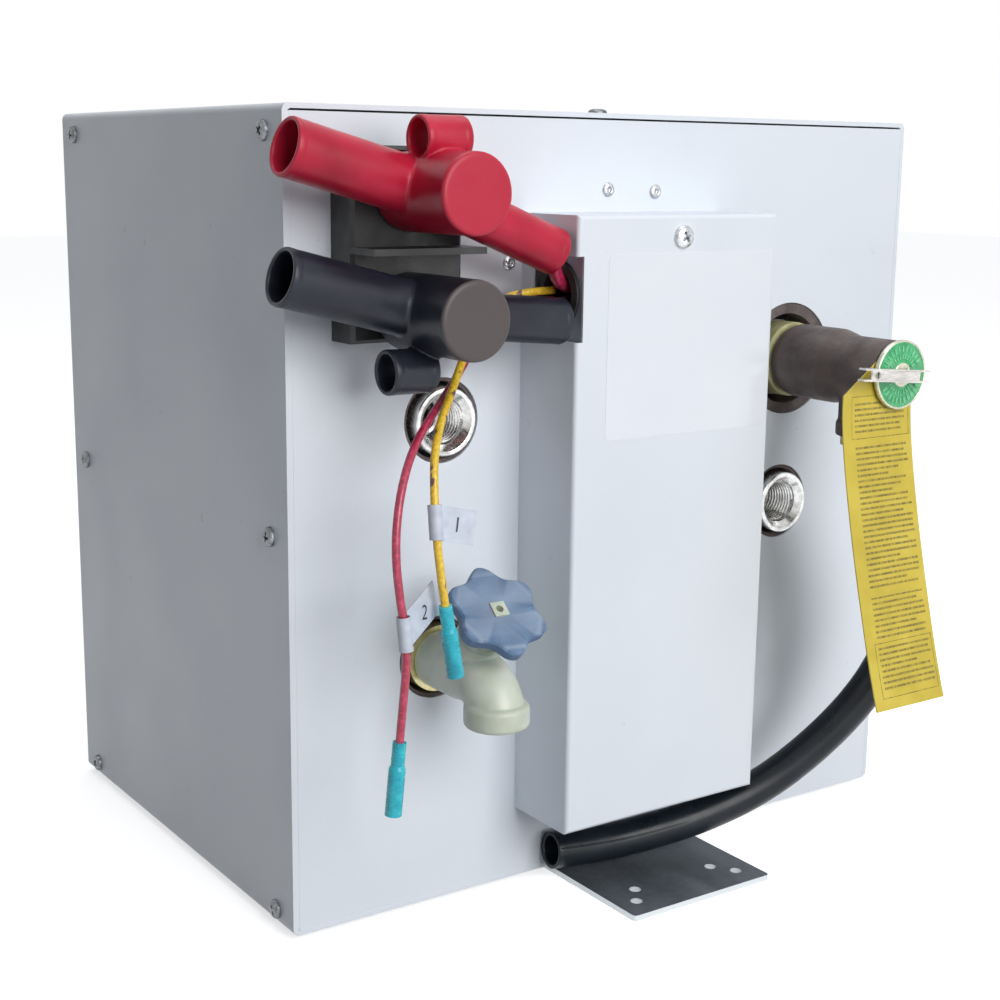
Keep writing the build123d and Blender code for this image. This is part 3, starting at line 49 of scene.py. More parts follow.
camera_yaw = radians(34.520)
camera_pitch = radians(-11.594)
camera_roll = radians(0.688)


def placed(name, data):
    """Object of a mesh, curve, light or camera, linked into the scene."""
    made = bpy.data.objects.new(name, data)
    bpy.context.scene.collection.objects.link(made)
    return made


camera_data = bpy.data.cameras.new("camera")
camera_data.sensor_width = 36.0
camera_data.lens = 58.82
camera_data.clip_start = 0.01
camera_data.clip_end = 50.0
camera = placed("camera", camera_data)
look = Vector((sin(camera_yaw) * cos(camera_pitch), cos(camera_yaw) * cos(camera_pitch), sin(camera_pitch)))
level = Vector((cos(camera_yaw), -sin(camera_yaw), 0.0))
upright = level.cross(look)
side_axis = cos(camera_roll) * level + sin(camera_roll) * upright
up_axis = cos(camera_roll) * upright - sin(camera_roll) * level
camera.matrix_world = Matrix.Translation(camera_place) @ Matrix((side_axis, up_axis, -look)).transposed().to_4x4()
bpy.context.scene.camera = camera

# Discharge hose: extruded black vinyl with a moulding ridge along it, pushed on the valve's barb.
# It hangs free in front of the panel and ends open over the front of the rail.
MM = 0.001
BODY = "water_heater"


def link(made, source, target):
    made.node_tree.links.new(source, target)


def noise(made, scale, detail=4.0, stretch=(1.0, 1.0, 1.0)):
    """Noise over the object's own coordinates, stretched along one axis where a surface is brushed."""
    tree = made.node_tree.nodes
    place = tree.new("ShaderNodeTexCoord")
    mapping = tree.new("ShaderNodeMapping")
    mapping.inputs["Scale"].default_value = stretch
    texture = tree.new("ShaderNodeTexNoise")
    texture.inputs["Scale"].default_value = scale
    texture.inputs["Detail"].default_value = detail
    link(made, place.outputs["Object"], mapping.inputs["Vector"])
    link(made, mapping.outputs["Vector"], texture.inputs["Vector"])
    return texture.outputs["Fac"]


def ramp(made, factor, stops):
    """Colours laid over a factor, each stop a place and a linear colour."""
    node = made.node_tree.nodes.new("ShaderNodeValToRGB")
    bands = node.color_ramp.elements
    while len(bands) < len(stops):
        bands.new(0.5)
    for band, (where, colour) in zip(bands, stops):
        band.position = where
        band.color = (*colour, 1.0)
    link(made, factor, node.inputs["Fac"])
    return node.outputs["Color"]


def surface(name, colours, mottle, rough, bump, metal=0.0, stretch=(1.0, 1.0, 1.0), **sockets):
    """Material with mottled colour, a spread of roughness and a fine relief.

    colours are two or three linear colours from the deepest to the palest, mottle is the scale of
    their noise, rough is the lowest and highest roughness, bump is scale, strength and depth.
    """
    made = bpy.data.materials.new(name)
    made.use_nodes = True
    shader = made.node_tree.nodes["Principled BSDF"]
    shader.inputs["Metallic"].default_value = metal
    for key, value in sockets.items():
        shader.inputs[key.replace("_", " ")].default_value = value
    places = (0.32, 0.68) if len(colours) == 2 else (0.28, 0.52, 0.76)
    link(made, ramp(made, noise(made, mottle, 5.0, stretch), list(zip(places, colours))),
         shader.inputs["Base Color"])
    spread = made.node_tree.nodes.new("ShaderNodeMapRange")
    spread.inputs["From Min"].default_value = 0.3
    spread.inputs["From Max"].default_value = 0.7
    spread.inputs["To Min"].default_value = rough[0]
    spread.inputs["To Max"].default_value = rough[1]
    link(made, noise(made, mottle * 2.6, 4.0, stretch), spread.inputs["Value"])
    link(made, spread.outputs["Result"], shader.inputs["Roughness"])
    scale, strength, depth = bump
    raised = made.node_tree.nodes.new("ShaderNodeBump")
    raised.inputs["Strength"].default_value = strength
    raised.inputs["Distance"].default_value = depth * MM
    link(made, noise(made, scale, 3.0, stretch), raised.inputs["Height"])
    link(made, raised.outputs["Normal"], shader.inputs["Normal"])
    return made


def overlay(made, colour, factor):
    """Second colour over a material's own, where the factor is 1."""
    shader = made.node_tree.nodes["Principled BSDF"]
    mix = made.node_tree.nodes.new("ShaderNodeMix")
    mix.data_type = "RGBA"
    under, over = mix.inputs[6], mix.inputs[7]
    link(made, shader.inputs["Base Color"].links[0].from_socket, under)
    over.default_value = (*colour, 1.0)
    link(made, factor, mix.inputs[0])
    link(made, mix.outputs[2], shader.inputs["Base Color"])


def keep(name, mesh, made, body=BODY):
    """New piece that rides on a body of the frame, with the one material given."""
    piece = placed(name, mesh)
    mesh.materials.clear()
    mesh.materials.append(made)
    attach(piece, body)
    return piece


def cord_line(name, points, radius, made, caps=True):
    """Cord as one open spline with the points of its route as control points."""
    curve = bpy.data.curves.new(name, "CURVE")
    curve.dimensions = "3D"
    line = curve.splines.new("NURBS")
    line.points.add(len(points) - 1)
    for knot, (x, y, z) in zip(line.points, points):
        knot.co = (x * MM, y * MM, z * MM, 1.0)
    line.order_u = 3
    line.use_endpoint_u = True
    line.resolution_u = 16
    curve.bevel_depth = radius * MM
    curve.bevel_resolution = 8
    curve.use_fill_caps = caps
    return keep(name, curve, made)


def meshed(name, shape):
    """Mesh made from a bmesh, which is freed."""
    mesh = bpy.data.meshes.new(name)
    shape.to_mesh(mesh)
    shape.free()
    return mesh


def lathe(name, profile, place, steps=48, closed=False):
    """Mesh of radius and height points turned about Z, then laid at its place."""
    shape = bmesh.new()
    rings = []
    for radius, height in profile:
        rings.append([shape.verts.new((radius * MM * cos(2 * pi * k / steps), radius * MM * sin(2 * pi * k / steps),
                                       height * MM)) for k in range(steps)])
    pairs = list(zip(rings, rings[1:])) + ([(rings[-1], rings[0])] if closed else [])
    for low, high in pairs:
        for k in range(steps):
            after = (k + 1) % steps
            shape.faces.new((low[k], low[after], high[after], high[k]))
    bmesh.ops.recalc_face_normals(shape, faces=shape.faces)
    mesh = meshed(name, shape)
    mesh.shade_smooth()
    mesh.transform(place)
    return mesh


def aimed(point, way):
    """Place at a point in millimetres with its own Z along a way."""
    turn = Vector((0, 0, 1)).rotation_difference(Vector(way)).to_matrix().to_4x4()
    return Matrix.Translation(Vector(point) * MM) @ turn


hose_points = [
    (95.9, -166.2, 190.5), (95.9, -166.2, 168.5), (110.6, -170.7, 144.5), (118.9, -172.7, 121.0),
    (117.2, -171.2, 96.0), (105.9, -166.2, 73.0), (86.9, -157.7, 50.5), (61.4, -147.2, 29.9),
    (31.4, -138.0, 18.6), (1.4, -130.9, 14.0), (-22.1, -126.8, 13.0), (-43.6, -124.6, 14.8)]
hose_radius = 8.2
hose_bore = 6.35
hose_vinyl = surface("hose_vinyl", [(0.003, 0.005, 0.008), (0.006, 0.010, 0.015), (0.014, 0.020, 0.027)], 55.0,
                     (0.26, 0.38), (120.0, 0.2, 0.5), Specular_IOR_Level=0.3)
discharge = cord_line("hose_cord", hose_points, hose_radius, hose_vinyl, caps=False)
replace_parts(discharge, "discharge_hose")
hose_way = Vector(hose_points[-1]) - Vector(hose_points[-2])
hose_mouth = keep("hose_mouth", lathe("hose_mouth", [
    (hose_radius - 0.04, -3.0), (hose_radius - 0.04, -0.5), (7.9, -0.1), (7.5, 0.0), (6.8, 0.0), (6.45, -0.2),
    (hose_bore, -0.7), (hose_bore, -24.0), (0.05, -24.2)], aimed(hose_points[-1], hose_way)),
                  hose_vinyl)
hose_ridge = cord_line("hose_ridge", [(x + 0.2, y - 7.4, z + 3.3) for x, y, z in hose_points[4:]], 0.45,
                       hose_vinyl)

# Yellow lamp wire: vinyl sleeve with faint dark marks of print, out of the grommet to its own crimp.
yellow_sleeve = surface("yellow_sleeve", [(0.62, 0.36, 0.015), (0.83, 0.55, 0.03), (0.93, 0.68, 0.10)], 700.0,
                        (0.28, 0.44), (500.0, 0.15, 0.2), Coat_Weight=0.25, Coat_Roughness=0.25)
print_flecks = ramp(yellow_sleeve, noise(yellow_sleeve, 260.0, 2.0, (1.0, 1.0, 0.5)),
                    [(0.62, (0.0, 0.0, 0.0)), (0.66, (1.0, 1.0, 1.0))])
overlay(yellow_sleeve, (0.16, 0.07, 0.05), print_flecks)
yellow_points = [
    (-53.1, -132.2, 261.5), (-66.0, -132.2, 261.5), (-79.0, -130.7, 258.5), (-88.6, -130.7, 249.0),
    (-98.9, -135.2, 236.2), (-111.1, -146.2, 225.0), (-122.1, -156.2, 216.5), (-129.6, -163.7, 206.0),
    (-133.1, -169.2, 193.5), (-134.0, -172.2, 178.5), (-133.1, -173.7, 163.5), (-130.6, -173.7, 149.0)]
wire_radius = 1.6
yellow_cord = cord_line("yellow_cord", yellow_points, wire_radius, yellow_sleeve)
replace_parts(yellow_cord, "yellow_light_wire")

# Red switch wire: the same sleeve in crimson, a little longer, beside the yellow one.
red_sleeve = surface("red_sleeve", [(0.27, 0.010, 0.040), (0.45, 0.020, 0.075), (0.62, 0.07, 0.15)], 500.0,
                     (0.26, 0.42), (500.0, 0.15, 0.2), Coat_Weight=0.35, Coat_Roughness=0.2)
red_points = [
    (-53.1, -131.7, 257.5), (-65.0, -131.7, 257.5), (-77.0, -127.7, 252.5), (-85.6, -126.2, 243.5),
    (-94.6, -129.2, 233.0), (-107.1, -137.2, 224.0), (-122.6, -150.2, 217.5), (-135.6, -160.2, 210.0),
    (-144.6, -167.2, 200.0), (-150.6, -172.2, 187.0), (-152.6, -174.2, 172.5), (-151.6, -175.2, 158.0),
    (-149.6, -176.2, 143.0), (-149.1, -176.2, 130.0), (-150.6, -176.2, 116.5), (-151.9, -175.7, 100.5)]
red_cord = cord_line("red_cord", red_points, wire_radius, red_sleeve)
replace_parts(red_cord, "red_switch_wire")

# Crimp connectors on both wires: tinned barrels under clear blue-green nylon sleeves, pinched by the tool.


def dress(made, *names):
    """A material in the slots of nodes whose solids stay as they are."""
    for name in names:
        mesh = nodes[name].data
        mesh.materials.clear()
        mesh.materials.append(made)


crimp_nylon = surface("crimp_nylon", [(0.010, 0.40, 0.54), (0.02, 0.58, 0.70), (0.12, 0.72, 0.80)], 190.0,
                      (0.18, 0.34), (260.0, 0.5, 0.5), Transmission_Weight=0.2, IOR=1.45,
                      Subsurface_Weight=0.25, Subsurface_Scale=0.002)
dress(crimp_nylon, "yellow_wire_connector", "red_wire_connector")
tinned = surface("tinned", [(0.5, 0.48, 0.46), (0.84, 0.82, 0.80)], 800.0, (0.22, 0.38), (1200.0, 0.1, 0.1), 1.0)
barrel_profile = [(1.2, 18.0), (1.9, 18.1), (2.05, 19.0), (2.05, 25.6), (1.85, 26.2), (1.6, 26.0), (1.55, 19.0),
                  (0.1, 18.6)]
for name, points in (("yellow", yellow_points), ("red", red_points)):
    end_way = Vector(points[-1]) - Vector(points[-2])
    keep(name + "_crimp_barrel", lathe(name + "_crimp_barrel", barrel_profile, aimed(points[-1], end_way), 32),
         tinned)

# Flags: white satin tape folded round each wire and stuck to itself, each with a plain printed number.
tape = surface("tape", [(0.50, 0.54, 0.64), (0.61, 0.66, 0.76)], 220.0, (0.34, 0.5), (160.0, 0.3, 0.4))
dress(tape, "yellow_wire_flag", "red_wire_flag")
ink = surface("ink", [(0.012, 0.012, 0.02), (0.05, 0.05, 0.07)], 1500.0, (0.45, 0.6), (900.0, 0.1, 0.05))
number_lift = 0.06
number_size = 8.0


def applied(name, holder, *helpers):
    """Mesh of an object as evaluated; the object and its helpers are thrown away."""
    bpy.context.view_layer.update()
    mesh = bpy.data.meshes.new_from_object(holder.evaluated_get(bpy.context.evaluated_depsgraph_get()))
    for item in (*helpers, holder):
        bpy.data.objects.remove(item)
    mesh.name = name
    return mesh


def flag_number(node, text):
    """Plain number on the face of a flag that looks most to the front."""
    mesh = nodes[node].data
    face = max((p for p in mesh.polygons if p.normal.y < -0.3), key=lambda p: p.area)
    flat = [p for p in mesh.polygons if p.normal.dot(face.normal) > 0.999
            and abs((p.center - face.center).dot(face.normal)) < 0.1 * MM]
    corners = [mesh.vertices[i].co for p in flat for i in p.vertices]
    longest = max(((a - b) for a in corners for b in corners), key=lambda d: abs(d.x) - abs(d.z) * 0.5)
    edges = [mesh.vertices[a].co - mesh.vertices[b].co for p in flat for a, b in p.edge_keys]
    along = max(edges, key=lambda d: abs(d.normalized().dot(longest.normalized())) * d.length).normalized()
    along = along if along.x > 0 else -along
    upward = face.normal.cross(along)
    spans = [(min(c.dot(axis) for c in corners) + max(c.dot(axis) for c in corners)) / 2 for axis in (along, upward)]
    middle = along * spans[0] + upward * spans[1] + face.normal * (face.center.dot(face.normal) + number_lift * MM)
    curve = bpy.data.curves.new(node + "_number", "FONT")
    curve.body = text
    curve.size = number_size * MM
    curve.align_x = "CENTER"
    curve.align_y = "CENTER"
    made = applied(node + "_number", placed(node + "_number", curve))
    made.transform(Matrix.Translation(middle) @ Matrix((along, upward, face.normal)).transposed().to_4x4())
    keep(node + "_number", made, ink)


flag_number("yellow_wire_flag", "1")
flag_number("red_wire_flag", "2")

# Casing: one wrap of painted steel sheet folded over at its ends, with flanged panels set into the folds.
# White powder coat with a fine orange peel, a little soiled, and bridging the seam along three sides.
panel_front = -115.2
paint_white = surface("paint_white", [(0.69, 0.735, 0.80), (0.74, 0.785, 0.85), (0.77, 0.81, 0.87)], 7.0,
                      (0.28, 0.42), (1100.0, 0.18, 0.25), Coat_Weight=0.08, Coat_Roughness=0.35)
overlay(paint_white, (0.50, 0.52, 0.54), ramp(paint_white, noise(paint_white, 130.0, 8.0),
                                              [(0.70, (0.0, 0.0, 0.0)), (0.78, (0.5, 0.5, 0.5))]))
dress(paint_white, "casing_wrap", "front_panel", "rear_panel")
seam_back = 1.0
seam_sunk = 0.12
seam_outer = 163.5
seam_inner = 162.7
seam_low = 4.5
seam_wide = 0.95
seam_top = 329.6
seam_spare = 0.1


def slab(shape, low, high):
    """Block between two corners in millimetres, added to a bmesh."""
    made = bmesh.ops.create_cube(shape, size=1.0)["verts"]
    for vert in made:
        vert.co = Vector([(a + b) / 2 + c * (b - a) for a, b, c in zip(low, high, vert.co)]) * MM


seam = bmesh.new()
for sign in (-1, 1):
    ends = sorted((sign * seam_outer, sign * seam_inner))
    slab(seam, (ends[0] - seam_spare, panel_front + seam_sunk, seam_low),
         (ends[1] + seam_spare, panel_front + seam_back, seam_top))
slab(seam, (-seam_outer, panel_front + seam_sunk, seam_low - seam_spare),
     (seam_outer, panel_front + seam_back, seam_low + seam_wide - seam_spare))
keep("seam_paint", meshed("seam_paint", seam), paint_white)

# Casing screws: zinc pan heads with a cross recess, in a darker copy of the zinc that is painted shade, as on the
# shaded left side. The cover's screw is the same but larger and in the bright zinc.
# The blind rivets beside them are domed flanges with the broken pin sunk in the middle.
zinc = surface("zinc", [(0.40, 0.41, 0.42), (0.60, 0.61, 0.63), (0.80, 0.81, 0.83)], 420.0, (0.18, 0.36),
               (1500.0, 0.12, 0.1), 1.0)
dress(zinc, "casing_screws", "cover_screw", "terminal_studs", "stud_nuts", "lead_lugs", "panel_rivets")


def crisp(mesh, angle):
    """Smooth shading that breaks at edges sharper than an angle in degrees."""
    mesh.shade_smooth()
    edges = bmesh.new()
    edges.from_mesh(mesh)
    for edge in edges.edges:
        if len(edge.link_faces) == 2 and edge.calc_face_angle(0.0) > radians(angle):
            edge.smooth = False
    edges.to_mesh(mesh)
    edges.free()


def cut_by(holder, tool):
    """Exact cut of one object by another, applied with the rest later."""
    cut = holder.modifiers.new("cut", "BOOLEAN")
    cut.object = tool
    cut.operation = "DIFFERENCE"
    cut.solver = "EXACT"


def cross_head(name, radius, high):
    """Pan head with a tapered cross cut into it, its seat at height 0."""
    dome = [(1.0, 0.0), (1.0, 0.38), (0.94, 0.62), (0.78, 0.84), (0.52, 0.97), (0.2, 1.0), (0.005, 1.0)]
    body = lathe(name, [(0.02, 0.0)] + [(radius * r, high * h) for r, h in dome], Matrix(), 40)
    holder = placed(name, body)
    cutters = []
    for quarter in (0, 1):
        tool = bmesh.new()
        rings = []
        for long, wide, level_share in ((0.62, 0.14, 1.2), (0.22, 0.09, 0.25)):
            corners = [(sx * long * radius, sy * wide * radius) for sx, sy in ((1, 1), (-1, 1), (-1, -1), (1, -1))]
            rings.append([tool.verts.new(((x, y, level_share * high) if quarter == 0 else
                                          (-y, x, level_share * high))) for x, y in corners])
        tool.faces.new(rings[0])
        tool.faces.new(list(reversed(rings[1])))
        for k in range(4):
            after = (k + 1) % 4
            tool.faces.new((rings[0][k], rings[1][k], rings[1][after], rings[0][after]))
        for vert in tool.verts:
            vert.co *= MM
        bmesh.ops.recalc_face_normals(tool, faces=tool.faces)
        cutters.append(placed("cutter", meshed("cutter", tool)))
        cut_by(holder, cutters[-1])
    mesh = applied(name, holder, *cutters)
    crisp(mesh, 35.0)
    return mesh


head_radius = 4.05
head_high = 2.2
side_face = 165.6
top_face = 332.5
screw_out = 100.0
screw_rows = (322.5, 166.5, 9.0)
screw_turn = 0.7
head_places = [((side * side_face, y, z), (side, 0, 0))
               for side in (-1, 1) for y in (-screw_out, screw_out) for z in screw_rows]
head_places += [((-8.0, y, top_face), (0, 0, 1)) for y in (-screw_out, screw_out)]
# darker copy of the zinc: painted shade of the shaded side, given to every casing head
shaded_zinc = surface("shaded_zinc", [(0.11, 0.115, 0.12), (0.20, 0.21, 0.22), (0.36, 0.37, 0.38)], 420.0, (0.3, 0.5),
                    (1500.0, 0.12, 0.1), 1.0)
casing_head = cross_head("casing_head", head_radius, head_high)
casing_heads = []
for count, (point, normal) in enumerate(head_places, 1):
    mesh = casing_head.copy()
    mesh.transform(aimed(point, normal) @ Matrix.Rotation(screw_turn * count, 4, "Z"))
    casing_heads.append(keep("casing_head_%02d" % count, mesh, shaded_zinc))
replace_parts(casing_heads[0], "casing_screws")

FRONT = (0, -1, 0)
cover_face = panel_front - 38.0
cover_head_radius = 4.7
cover_head_high = 2.7
cover_screw_x = -3.6
cover_screw_z = 283.0
cover_head_mesh = cross_head("cover_head", cover_head_radius, cover_head_high)
cover_head_mesh.transform(aimed((cover_screw_x, cover_face, cover_screw_z), FRONT) @ Matrix.Rotation(0.5, 4, "Z"))
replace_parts(keep("cover_head", cover_head_mesh, zinc), "cover_screw")

rivet_profile = [(3.05, 0.0), (3.05, 0.35), (2.6, 0.95), (1.7, 1.3), (1.15, 1.25), (1.0, 0.6), (0.85, 0.3),
                 (0.02, 0.45)]
rivet_places = ((-13.2, 301.1), (12.4, 300.3), (-63.5, 271.7))
rivets = [keep("rivet_%d" % k, lathe("rivet_%d" % k, rivet_profile, aimed((x, panel_front, z), FRONT), 32),
               zinc) for k, (x, z) in enumerate(rivet_places)]
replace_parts(rivets[0], "panel_rivets")

# Mounting rail: galvanised strip under the box, its spangle dulled and its colour darkened with painted dark
# reflection and shade of the box above, paler on its edges and every face that doesn't look up.
# dark base colours: dulled zinc darkened further as painted reflection and shade of the box above
galvanised = surface("galvanised", [(0.15, 0.175, 0.205), (0.22, 0.245, 0.275), (0.30, 0.33, 0.365)], 35.0,
                     (0.36, 0.52), (420.0, 0.2, 0.2), 0.75, (1.0, 0.25, 1.0))
spangle = galvanised.node_tree.nodes.new("ShaderNodeTexVoronoi")
spangle.inputs["Scale"].default_value = 420.0
rail_place = galvanised.node_tree.nodes.new("ShaderNodeTexCoord")
link(galvanised, rail_place.outputs["Object"], spangle.inputs["Vector"])
grey_of = galvanised.node_tree.nodes.new("ShaderNodeRGBToBW")
link(galvanised, spangle.outputs["Color"], grey_of.inputs["Color"])
overlay(galvanised, (0.30, 0.32, 0.34), ramp(galvanised, grey_of.outputs["Val"],
                                             [(0.3, (0.0, 0.0, 0.0)), (0.8, (0.3, 0.3, 0.3))]))
# paler colour on faces whose true normal doesn't look up, the rail's edges and underside
normal_parts = galvanised.node_tree.nodes.new("ShaderNodeSeparateXYZ")
facing = galvanised.node_tree.nodes.new("ShaderNodeNewGeometry")
link(galvanised, facing.outputs["True Normal"], normal_parts.inputs["Vector"])
overlay(galvanised, (0.62, 0.66, 0.68), ramp(galvanised, normal_parts.outputs["Z"],
                                             [(0.3, (1.0, 1.0, 1.0)), (0.6, (0.0, 0.0, 0.0))]))
dress(galvanised, "mounting_rail")

# Access cover: folded painted sheet over the wiring box, with a clear film left blank on its face.
paint_cover = paint_white.copy()
paint_cover.name = "paint_cover"
dress(paint_cover, "access_cover")
film = surface("film", [(0.76, 0.79, 0.86), (0.80, 0.83, 0.89)], 12.0, (0.12, 0.22), (60.0, 0.12, 0.3),
               Coat_Weight=0.4, Coat_Roughness=0.1)
film_left = -41.5
film_right = 46.0
film_low = 201.5
film_top = 276.5
film_thick = 0.12
film_corner = 2.5
film_steps = 6


def prism(name, outline, back, front):
    """Upright prism on an outline of X and Z, between two depths."""
    shape = bmesh.new()
    rings = [[shape.verts.new((x * MM, y * MM, z * MM)) for x, z in outline] for y in (back, front)]
    for ring in rings:
        shape.faces.new(ring)
    for k in range(len(outline)):
        after = (k + 1) % len(outline)
        shape.faces.new((rings[0][k], rings[0][after], rings[1][after], rings[1][k]))
    bmesh.ops.recalc_face_normals(shape, faces=shape.faces)
    return meshed(name, shape)


def rounded_outline(left, right, low, top, corner):
    """Points of X and Z round a rectangle with rounded corners."""
    outline = []
    for cx, cz, first in ((right - corner, top - corner, 0), (left + corner, top - corner, 1),
                          (left + corner, low + corner, 2), (right - corner, low + corner, 3)):
        for k in range(film_steps + 1):
            angle = (first + k / film_steps) * pi / 2
            outline.append((cx + corner * cos(angle), cz + corner * sin(angle)))
    return outline


film_outline = rounded_outline(film_left, film_right, film_low, film_top, film_corner)
keep("cover_film", prism("cover_film", film_outline, cover_face, cover_face - film_thick), film)

# Wiring box and grommet: zinced sheet box riveted behind the cover, a rubber ring lining its cable hole.
# The box's edge runs on as a narrow lip that shows in the cover's notch.
box_sheet = surface("box_sheet", [(0.42, 0.44, 0.50), (0.56, 0.58, 0.65)], 60.0, (0.35, 0.5), (500.0, 0.15, 0.2),
                    0.3)
dress(box_sheet, "wiring_box", "thermostat_bracket")
box_edge = -53.6
box_wall = 1.2
box_face = 33.0
lip_face = 36.6
lip_low = 238.1
lip_top = 280.1
lip = bmesh.new()
slab(lip, (box_edge, panel_front - lip_face, lip_low), (box_edge + box_wall, panel_front - box_face, lip_top))
keep("box_lip", meshed("box_lip", lip), box_sheet)
rubber = surface("rubber", [(0.010, 0.010, 0.012), (0.030, 0.030, 0.034)], 220.0, (0.5, 0.7), (900.0, 0.25, 0.2))
dress(rubber, "cable_grommet", "element_gasket", "drain_washer")

# Terminal block: black moulded resin with a barrier fin between the two studs.
resin = surface("resin", [(0.008, 0.009, 0.010), (0.016, 0.017, 0.018), (0.030, 0.031, 0.033)], 90.0, (0.34, 0.5),
                (900.0, 0.25, 0.2))
dress(resin, "terminal_block", "thermostat_body", "thermostat_dial")

# Power leads from the studs through the grommet, and the leads to thermostat and element inside the box.
dress(red_sleeve, "red_power_lead")
black_sleeve = surface("black_sleeve", [(0.008, 0.008, 0.009), (0.028, 0.028, 0.030)], 500.0, (0.32, 0.48),
                       (400.0, 0.15, 0.2))
dress(black_sleeve, "black_power_lead", "inner_leads")

# Terminal boots: dip moulded vinyl, a capped hub over each stud, two open tubes for the cables and a loop.
# The vinyl runs softly from tube to hub, and its open mouths are trimmed and a little rolled.
stud_x = -121.2
tube_out = 31.0
hub_front = 64.0
wall = 1.6
loop_long = 19.0
loop_radius = 8.5
vinyl_red = surface("vinyl_red", [(0.35, 0.006, 0.026), (0.49, 0.011, 0.042), (0.57, 0.025, 0.065)], 40.0,
                    (0.28, 0.42), (75.0, 0.2, 0.6), Specular_IOR_Level=0.32,
                    Subsurface_Weight=0.1, Subsurface_Scale=0.003)
vinyl_black = surface("vinyl_black", [(0.008, 0.009, 0.016), (0.015, 0.018, 0.030), (0.026, 0.030, 0.046)], 40.0,
                      (0.28, 0.42), (75.0, 0.2, 0.6), Specular_IOR_Level=0.32)


def pale_hub_face(made, colour):
    """Paler colour over the front face of a boot's hub, the last 1.4 mm of its depth."""
    tree = made.node_tree.nodes
    place = tree.new("ShaderNodeTexCoord")
    apart = tree.new("ShaderNodeSeparateXYZ")
    link(made, place.outputs["Object"], apart.inputs["Vector"])
    shift = tree.new("ShaderNodeMath")
    shift.operation = "MULTIPLY_ADD"
    shift.inputs[1].default_value = -1.0
    shift.inputs[2].default_value = (panel_front - hub_front + 1.4) * MM
    link(made, apart.outputs["Y"], shift.inputs[0])
    gain = tree.new("ShaderNodeMath")
    gain.operation = "MULTIPLY"
    gain.inputs[1].default_value = 1200.0
    gain.use_clamp = True
    link(made, shift.outputs["Value"], gain.inputs[0])
    overlay(made, colour, gain.outputs["Value"])


# paler colour over each hub's front face
pale_hub_face(vinyl_red, (0.50, 0.02, 0.05))
pale_hub_face(vinyl_black, (0.085, 0.070, 0.070))


def softened(node, name, voxel, rounds, made):
    """Moulded or cast version of a node: its solid remeshed finely and eased so that corners run together."""
    holder = placed(name, nodes[node].data.copy())
    fine = holder.modifiers.new("fine", "REMESH")
    fine.mode = "VOXEL"
    fine.voxel_size = voxel * MM
    ease = holder.modifiers.new("ease", "SMOOTH")
    ease.factor = 0.5
    ease.iterations = rounds
    mesh = applied(name, holder)
    mesh.shade_smooth()
    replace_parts(keep(name, mesh, made), node)


def rolled_mouth(name, point, way, radius, made):
    """Rolled lip round the open end of a tube, whose end is at the point."""
    inner = radius - wall
    profile = [(radius - 0.35, -4.5), (radius + 0.02, -3.2), (radius + 0.05, -0.9), (radius - 0.12, -0.3),
               (radius - 0.45, 0.0), (inner + 0.4, 0.0), (inner + 0.08, -0.35), (inner - 0.05, -1.0),
               (inner - 0.03, -3.2), (inner + 0.35, -4.5)]
    keep(name, lathe(name, profile, aimed(point, way), 56), made)


boots = (("red", 300.7, ((-180.6, 316.5), (-62.6, 277.5)), (-121.1, 320.0, 38.0), vinyl_red),
         ("black", 255.7, ((-183.1, 271.5), (-59.6, 250.5)), (-133.6, 235.5, 36.0), vinyl_black))
for name, stud_z, ends, (loop_x, loop_z, loop_out), vinyl in boots:
    softened(name + "_terminal_boot", name + "_boot", 0.65, 7, vinyl)
    for side, end, radius in (("left", ends[0], 10.8), ("right", ends[1], 9.2)):
        rolled_mouth("%s_boot_%s_mouth" % (name, side), (end[0], panel_front - tube_out, end[1]),
                     (end[0] - stud_x, 0, end[1] - stud_z), radius, vinyl)
    for side, sign in (("left", -1), ("right", 1)):
        rolled_mouth("%s_loop_%s_mouth" % (name, side),
                     (loop_x + sign * loop_long / 2, panel_front - loop_out, loop_z), (sign, 0, 0),
                     loop_radius, vinyl)

# Water ports: turned steel half inch sockets with a countersunk mouth and a cut pipe thread.
turned_steel = surface("turned_steel", [(0.46, 0.46, 0.45), (0.66, 0.66, 0.65), (0.84, 0.84, 0.83)], 300.0,
                       (0.14, 0.30), (1600.0, 0.12, 0.1), 1.0)
port_places = (("hot_outlet_socket", "hot", -95.8, 209.3), ("cold_inlet_socket", "cold", 93.4, 156.0))
port_rim = 14.3
port_wall = 9.6
port_profile = [(port_wall, -16.0), (8.0, -17.0), (8.0, -58.0), (port_rim - 0.6, -58.0), (port_rim, -57.4),
                (port_rim, 3.2), (14.1, 3.7), (13.7, 4.0), (12.5, 4.0), (12.2, 3.9), (9.7, 1.3), (port_wall, 1.0)]
thread_pitch = 1.81
thread_deep = 17.0
thread_start = 1.0
thread_profile = [(9.58, 0.0), (9.5, 0.12), (8.85, 0.45), (8.85, 0.58), (9.5, 0.9)]
thread_steps = 64


